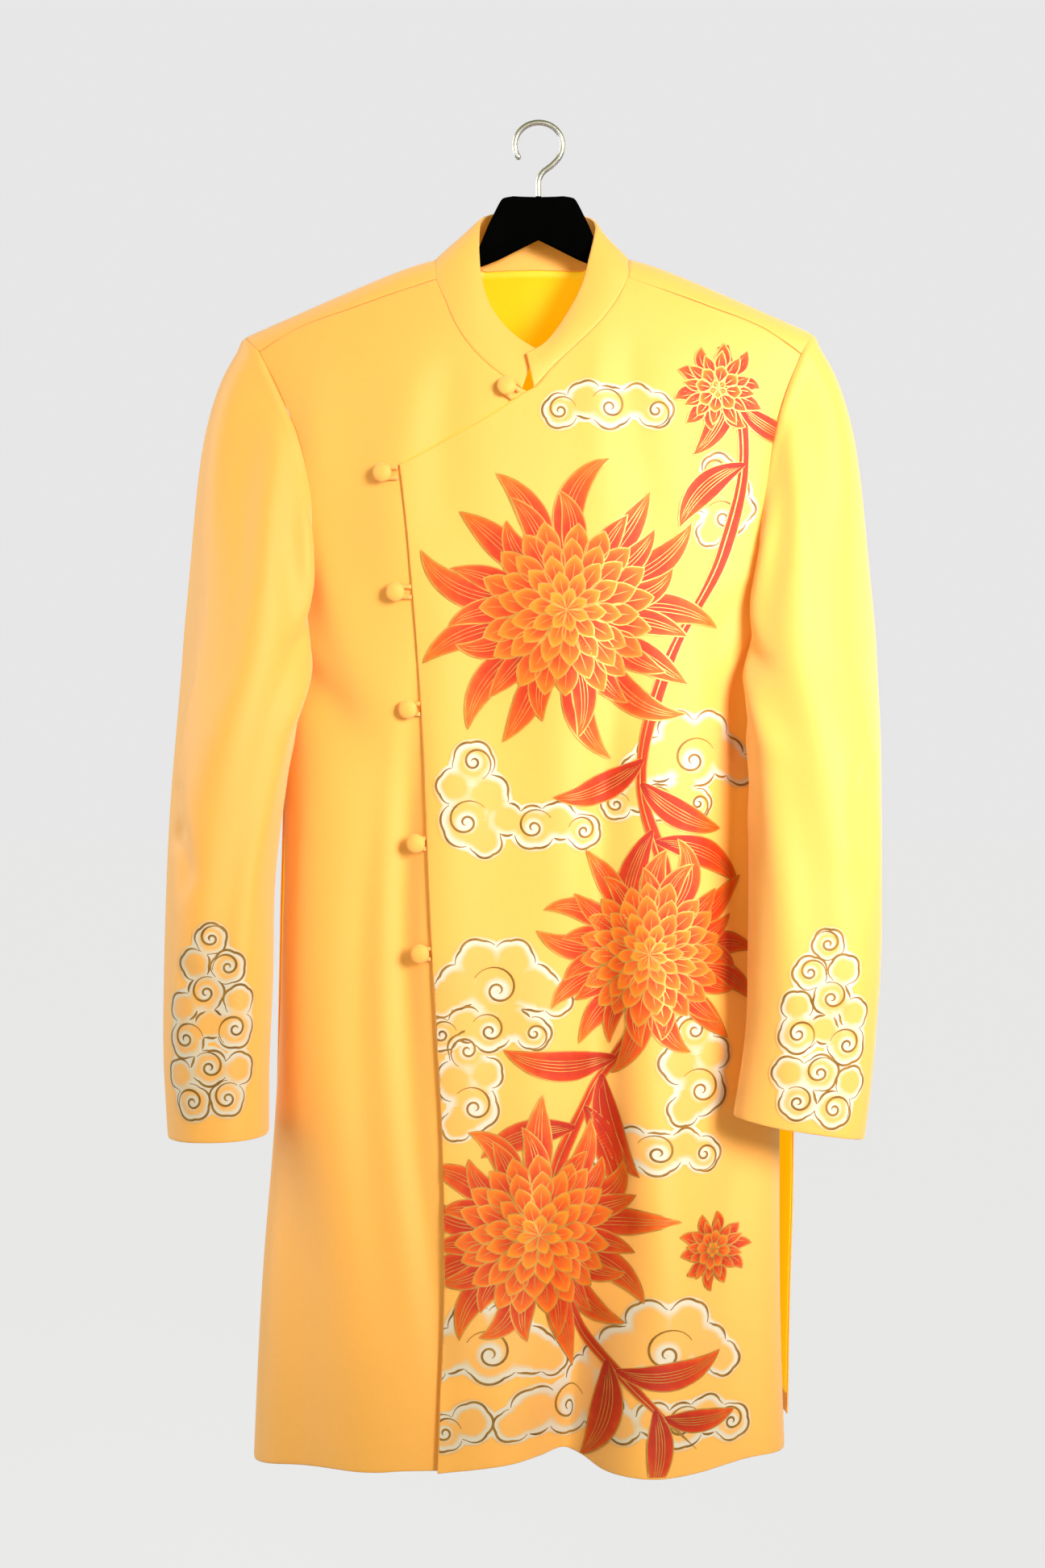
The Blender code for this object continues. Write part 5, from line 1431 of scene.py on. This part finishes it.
def petal(surface, at, angle, length, width, bend, rise, base, tip, widest=0.6, veins=2):
    """A petal or leaf: its middle line bends steadily, its half width is a skewed sine bell."""
    rows = max(8, int(length / PETAL_ROW))
    t = np.linspace(0.0, 1.0, rows)
    heading = math.radians(angle) + bend * (t - 0.3) + 0.5 * bend * t ** 2
    stride = length / (rows - 1)
    way = spokes(heading)
    middle = np.asarray(at, float) + np.concatenate([[[0.0, 0.0]], np.cumsum(stride * way[:-1], axis=0)])
    bell = np.sin(math.pi * (0.04 + 0.96 * t) ** (math.log(0.5) / math.log(widest)))
    half = 0.5 * width * np.maximum(bell, 0.0) ** 0.9
    half[-1] = 0.0
    left = leftward(way)
    v = np.linspace(-1.0, 1.0, 7)
    plane = middle[:, None] + left[:, None] * (half[:, None] * v[None])[..., None]
    tone = base + (tip - base) * t[:, None] ** 1.4 + 0.22 * np.abs(v[None]) ** 3
    add_film("warm", surface, plane, rise, np.clip(tone, 0.0, 1.0))
    rim = np.concatenate([plane[:, 0], plane[::-1, -1][1:]])
    pen_line("gold", surface, rim, 0.95, rise + RIM_STEP)
    for k in range(veins):
        reach = 0.55 * (1.0 - 2.0 * (k + 1.0) / (veins + 1.0))
        vein = middle + left * (half * reach)[:, None]
        pen_line("gold", surface, vein[1 + k:-2 - (k * 2) % 3], 0.5, rise + VEIN_STEP)


def uneven(number):
    """A steady value from -1 to 1 that looks random for whole numbers."""
    return math.sin(number * 12.9898) * math.cos(number * 4.1414 + 0.7)


def chrysanthemum(surface, at, radius, turn, seed, plume):
    """A blossom: long curling outer petals in two rings, then rings of shorter ones to the heart.
    Small blossoms have fewer. A ring has the shares of the radius where its petals start and end,
    their number, the shades of their foot and tip, and how much they curl."""
    rings = [(0.62, plume, 13, 0.12, 0.72, 0.55), (0.55, 0.55 + 0.45 * plume, 15, 0.05, 0.66, 0.45),
             (0.40, 0.98, 19, 0.06, 0.80, 0.1), (0.28, 0.80, 16, 0.10, 0.85, 0.1),
             (0.16, 0.62, 13, 0.15, 0.90, 0.1), (0.06, 0.43, 10, 0.25, 0.95, 0.1),
             (0.0, 0.25, 7, 0.45, 1.0, 0.1)]
    rise = PETAL_RISE
    if radius < SMALL_BLOSSOM:
        rings = [(start, end, round(0.65 * count), base, tip, wave)
                 for start, end, count, base, tip, wave in rings[1:2] + rings[2::2]]
    for ring, (start, end, count, base, tip, wave) in enumerate(rings):
        uneven_length, fill, widest, veins = (0.16, 0.82, 0.42, 3) if ring < 2 else (0.05, 1.1, 0.62, 1)
        room = 2.0 * math.pi * radius * (start * 0.45 + min(end, 1.0) * 0.55) / count
        for k in range(count):
            odd = uneven(seed * 31 + ring * 7 + k)
            angle = turn + ring * 13.0 + k * 360.0 / count + 4.0 * odd
            a = math.radians(angle)
            foot = np.asarray(at) + radius * start * np.array([math.cos(a), math.sin(a)])
            length = radius * (end - start) * (1.0 + uneven_length * odd)
            bend = wave * (1.0 + uneven(k + 3 * ring + seed)) * (1.0 if (k + ring) % 3 else -1.0)
            petal(surface, foot, angle, length, room * fill, bend, rise + PETAL_STEP * (k % 3),
                  base + 0.06 * odd, tip, widest, veins)
        rise += LAYER_RISE


def scalloped(radius, theta, turn, scallop):
    """A lobe's radius by direction, drawn in at its scallops."""
    return radius * (1.0 + scallop * (np.abs(np.sin(2.5 * theta + turn)) - 0.6))


def lobe_reach(lobes, points, scallop=SCALLOP):
    """How deep points lie in each lobe of a cloud: its scalloped radius less their distance."""
    reach = []
    for x, z, radius, _, turn in lobes:
        offset = points - np.array([x, z])
        theta = np.arctan2(offset[..., 1], offset[..., 0])
        reach.append(scalloped(radius, theta, turn, scallop) - np.linalg.norm(offset, axis=-1))
    return np.stack(reach)


def cloud(surface, lobes):
    """A cloud: one body of round lobes, white at its rim, with curls on white rounds in it. A lobe
    has its middle, radius, way of curling (0 for none) and turn."""
    theta = np.linspace(0.0, 2.0 * math.pi, 49)
    spoke = spokes(theta)
    share = np.linspace(0.02, 1.0, 13)
    over_lobes = CLOUD_RISE + LOBE_STEP * len(lobes)
    for k, (x, z, radius, kind, turn) in enumerate(lobes):
        at = np.array([x, z], float)
        plane = at + (radius + 3.2) * share[:, None, None] * spoke[None]
        depth = CLOUD_BLEND * np.log(np.exp(lobe_reach(lobes, plane, 0.05) / CLOUD_BLEND).sum(axis=0))
        band = min(WIDEST_BAND, 0.48 * radius)
        white = step((depth + 3.0) / 3.0) * step((band - depth) / (0.76 * band))
        for other_x, other_z, other_radius, other_kind, _ in lobes:
            away = np.linalg.norm(plane - np.array([other_x, other_z]), axis=-1) / other_radius
            white = np.maximum(white, (other_kind != 0) * step((0.60 - away) / 0.34))
        add_film("cloud", surface, plane, CLOUD_RISE + LOBE_STEP * k, white)
        edge = at + scalloped(radius, theta, turn, SCALLOP)[:, None] * spoke
        others = [lobe for j, lobe in enumerate(lobes) if j != k]
        hidden = lobe_reach(others, edge).max(axis=0) > 0.2
        if hidden.any():
            shift = int(np.argmax(hidden))
            edge, hidden = np.roll(edge[:-1], -shift, axis=0), np.roll(hidden[:-1], -shift)
        marks = np.flatnonzero(np.diff(np.concatenate([[True], hidden, [True]]).astype(int)))
        for first, last in zip(marks[::2], marks[1::2]):
            if last - first > 5:
                pen_line("bronze", surface, edge[first:last], OUTLINE_WIDTH, over_lobes + OUTLINE_STEP,
                         taper=0.3)
        if kind:
            sweep = np.linspace(0.0, 1.0, 46)
            angle = turn + kind * sweep * 2.0 * math.pi * 1.6
            inner = radius * (0.93 - 0.42 * step(sweep / 0.45) - 0.40 * sweep)
            spiral = at + inner[:, None] * spokes(angle)
            pen_line("bronze", surface, spiral, CURL_WIDTH, over_lobes + CURL_STEP, taper=0.2)


def moved(lobes, x, z, size=1.0, flip=1.0):
    """The same cloud elsewhere, resized and perhaps mirrored."""
    return [(x + flip * lobe_x * size, z + lobe_z * size, LOBE_SWELL * radius * size, kind * flip,
             turn if flip > 0 else math.pi - turn) for lobe_x, lobe_z, radius, kind, turn in lobes]


def clustered(*clouds):
    """Several clouds as one: lobes that would cover earlier ones left out, curls that would cross
    earlier ones made plain."""
    kept = []
    for x, z, radius, kind, turn in [lobe for lobes in clouds for lobe in lobes]:
        apart = [(math.hypot(x - other[0], z - other[1]) / (radius + other[2]), other[3])
                 for other in kept]
        if all(share > COVERED for share, _ in apart):
            crossing = any(share < CURLS_CROSS and other_kind for share, other_kind in apart)
            kept.append((x, z, radius, 0.0 if crossing else kind, turn))
    return kept


BANK = [(0, 0, 19, 1, 0.5), (29, 3, 15, -1, 3.4), (-27, 2, 16, 1, 1.9), (14, 22, 15, 0, 0.3),
        (-12, 23, 14, 0, 1.1), (43, -8, 11, 0, 2.0), (-43, -7, 11, 0, 0.7)]
PLUME = [(0, 0, 17, 1, 0.7), (16, 21, 14, -1, 3.1), (-9, 27, 12, 0, 0.2), (5, 45, 14, 1, 5.2),
         (-15, 9, 11, 0, 1.4), (14, -14, 11, 0, 2.6)]
STREAM = [(-39, -3, 13, 1, 0.3), (-18, 6, 14, 0, 1.6), (2, 0, 16, -1, 2.6), (24, 7, 12, 0, 0.9),
          (40, -2, 13, 1, 4.5)]
for lobes in (moved(STREAM, 58, -128, 0.95),
              clustered(moved(BANK, 124, -404, 1.0), moved(STREAM, 96, -436, 0.8)),
              clustered(moved(PLUME, -52, -452, 1.05), moved(STREAM, 2, -456, 0.95, -1.0)),
              clustered(moved(BANK, -28, -584, 1.05, -1.0), moved(STREAM, -36, -616, 0.9)),
              clustered(moved(PLUME, 132, -664, 1.05, -1.0), moved(STREAM, 96, -712, 0.95)),
              clustered(moved(PLUME, -46, -676, 1.0, -1.0)), moved(PLUME, 150, -214, 0.85, -1.0),
              clustered(moved(BANK, 104, -868, 1.1), moved(BANK, -34, -868, 1.05, -1.0),
                        moved(BANK, 26, -916, 1.05), moved(STREAM, -30, -926, 1.0),
                        moved(STREAM, 118, -924, 1.0, -1.0))):
    cloud(chest_surface, lobes)

STEM = [(150, -78), (166, -150), (150, -240), (104, -330), (84, -420), (104, -500), (96, -590), (44, -668),
        (12, -740), (24, -830), (78, -892), (128, -944)]
stem = along(STEM, 420)
stem_way = unit(np.gradient(stem, axis=0))
stem_side = leftward(stem_way)
stem_half = (4.6 + 0.7 * np.sin(np.arange(len(stem)) / 9.0)) * step(np.arange(len(stem))[::-1] / 40.0)
v = np.linspace(-1.0, 1.0, 5)
stem_plane = stem[:, None] + stem_side[:, None] * (stem_half[:, None] * v[None])[..., None]
stem_tone = 0.16 + 0.35 * np.abs(v[None]) ** 2 + np.zeros((len(stem), 1))
add_film("warm", chest_surface, stem_plane, STEM_RISE, stem_tone)
for across in (-1.0, -0.2, 1.0):
    line = stem + stem_side * (stem_half * across)[:, None]
    pen_line("gold", chest_surface, line, 0.9, STEM_RISE + VEIN_STEP, taper=0.02)

LEAVES = [
    ("share", "side", "turn", "length", "width", "bend"),
    (0.03, 1, 34, 70, 20, -0.5), (0.05, -1, 40, 62, 18, 0.5), (0.10, 1, 52, 74, 22, 0.6),
    (0.36, 1, 50, 78, 22, -0.6), (0.38, -1, 48, 76, 22, 0.5), (0.42, 1, 40, 92, 22, 0.5),
    (0.43, -1, 56, 80, 22, -0.6), (0.62, 1, 44, 92, 24, -0.6), (0.64, -1, 46, 88, 24, 0.6),
    (0.67, -1, 60, 80, 22, -0.5), (0.69, 1, 54, 76, 22, 0.5), (0.90, 1, 48, 84, 22, -0.6),
    (0.91, -1, 42, 84, 22, 0.6), (0.95, 1, 38, 66, 20, -0.5), (0.96, -1, 36, 60, 18, 0.5),
]
for number, (share, side, turn, length, width, bend) in enumerate(LEAVES[1:]):
    at = int(share * (len(stem) - 1))
    heading = math.degrees(math.atan2(stem_way[at, 1], stem_way[at, 0])) - side * turn
    leaf_rise = STEM_RISE + LEAF_STEP + 0.015 * (number % 4)
    petal(chest_surface, stem[at], heading, length, width, bend, leaf_rise, 0.02, 0.55, 0.5, 4)

BLOSSOMS = [
    ("x", "z", "radius", "turn", "plume"),
    (26, -286, 70, 0, 1.75), (92, -556, 58, 8, 1.62), (2, -776, 64, 4, 1.62), (146, -112, 30, 10, 1.5),
    (142, -790, 25, 5, 1.5),
]
for number, (x, z, radius, turn, plume) in enumerate(BLOSSOMS[1:]):
    chrysanthemum(chest_surface, (x, z), radius, turn, number, plume)

CUFF_CLOUD = [
    (0, -540, 12, 1, 0.5), (-13, -560, 12, 0, 0.2), (13, -562, 13, -1, 3.3), (-4, -582, 14, 1, 1.2),
    (22, -588, 12, 0, 0.8), (-23, -594, 12, 0, 2.2), (20, -610, 15, -1, 4.0), (-19, -618, 15, 1, 0.2),
    (0, -606, 11, 0, 1.0), (0, -640, 14, -1, 2.4), (24, -641, 13, 0, 0.3), (-25, -646, 12, 0, 1.6),
    (14, -664, 14, 1, 0.9), (-14, -667, 14, -1, 3.6),
]
CUFF_CLOUD = clustered(CUFF_CLOUD)
cloud(cuff_surface(right_outer, right_out, RIGHT_CUFF_X), CUFF_CLOUD)
cloud(cuff_surface(left_outer, left_out, LEFT_CUFF_X),
      [(-x, z - 3, radius, -kind, math.pi - turn) for x, z, radius, kind, turn in CUFF_CLOUD])


# The paints: each has a ramp of colours over the stroke's shade, from 0 to 1.
PAINT_RELIEF = 0.22
ORANGE_RED = ((0.0, (0.36, 0.012, 0.003, 1.0)), (0.35, (0.56, 0.034, 0.004, 1.0)),
              (0.62, (0.72, 0.11, 0.007, 1.0)), (0.95, (0.84, 0.28, 0.012, 1.0)))
CLOUD_WHITE = ((0.10, CREPE), (0.50, (0.72, 0.46, 0.20, 1.0)), (0.92, (0.68, 0.59, 0.46, 1.0)))
BRONZE = ((0.2, (0.15, 0.06, 0.006, 1.0)), (0.8, (0.42, 0.21, 0.03, 1.0)))
GOLD = ((0.2, (0.34, 0.15, 0.02, 1.0)), (0.8, (0.64, 0.36, 0.07, 1.0)))


def ramp(tree, value, stops):
    """A colour ramp."""
    node = tree.nodes.new("ShaderNodeValToRGB")
    elements = node.color_ramp.elements
    while len(elements) < len(stops):
        elements.new(0.5)
    for element, (at, colour) in zip(elements, stops):
        element.position = at
        element.color = colour
    tree.links.new(value, node.inputs["Fac"])
    return node.outputs["Color"]


def painted_material(name, rough, specular, blotch, scale, stops, sheen=0.0, metal=0.0):
    """Paint on the cloth: a ramp over the stroke's shade, brushed unevenly. The weave shows through."""
    def brushed(tree, where):
        """The paint's colour from the stroke's shade and its spots."""
        tone = tree.nodes.new("ShaderNodeAttribute")
        tone.attribute_name = "tone"
        spots = math_node(tree, "SUBTRACT", noise_node(tree, where, scale, 3.0), 0.5)
        shade = math_node(tree, "ADD", tone.outputs["Fac"], math_node(tree, "MULTIPLY", spots, blotch))
        return ramp(tree, shade, stops)

    look, shader = woven_material(name, brushed, rough, specular, sheen, PAINT_RELIEF)
    set_inputs(shader, Metallic=metal)
    return look


warm_paint = painted_material("orange_red_paint", 0.55, 0.25, 0.3, 120.0, ORANGE_RED)
cloud_paint = painted_material("white_paint", 0.62, CREPE_SPECULAR, 0.35, 70.0, CLOUD_WHITE, CREPE_SHEEN)
bronze_paint = painted_material("bronze_line_paint", 0.42, 0.2, 1.0, 90.0, BRONZE)
gold_paint = painted_material("gold_line_paint", 0.36, 0.5, 1.0, 90.0, GOLD, metal=0.4)
lay_films("cloud", "painted_clouds", cloud_paint)
lay_films("bronze", "painted_cloud_lines", bronze_paint)
lay_films("warm", "painted_blossoms", warm_paint)
lay_films("gold", "painted_gold_lines", gold_paint)
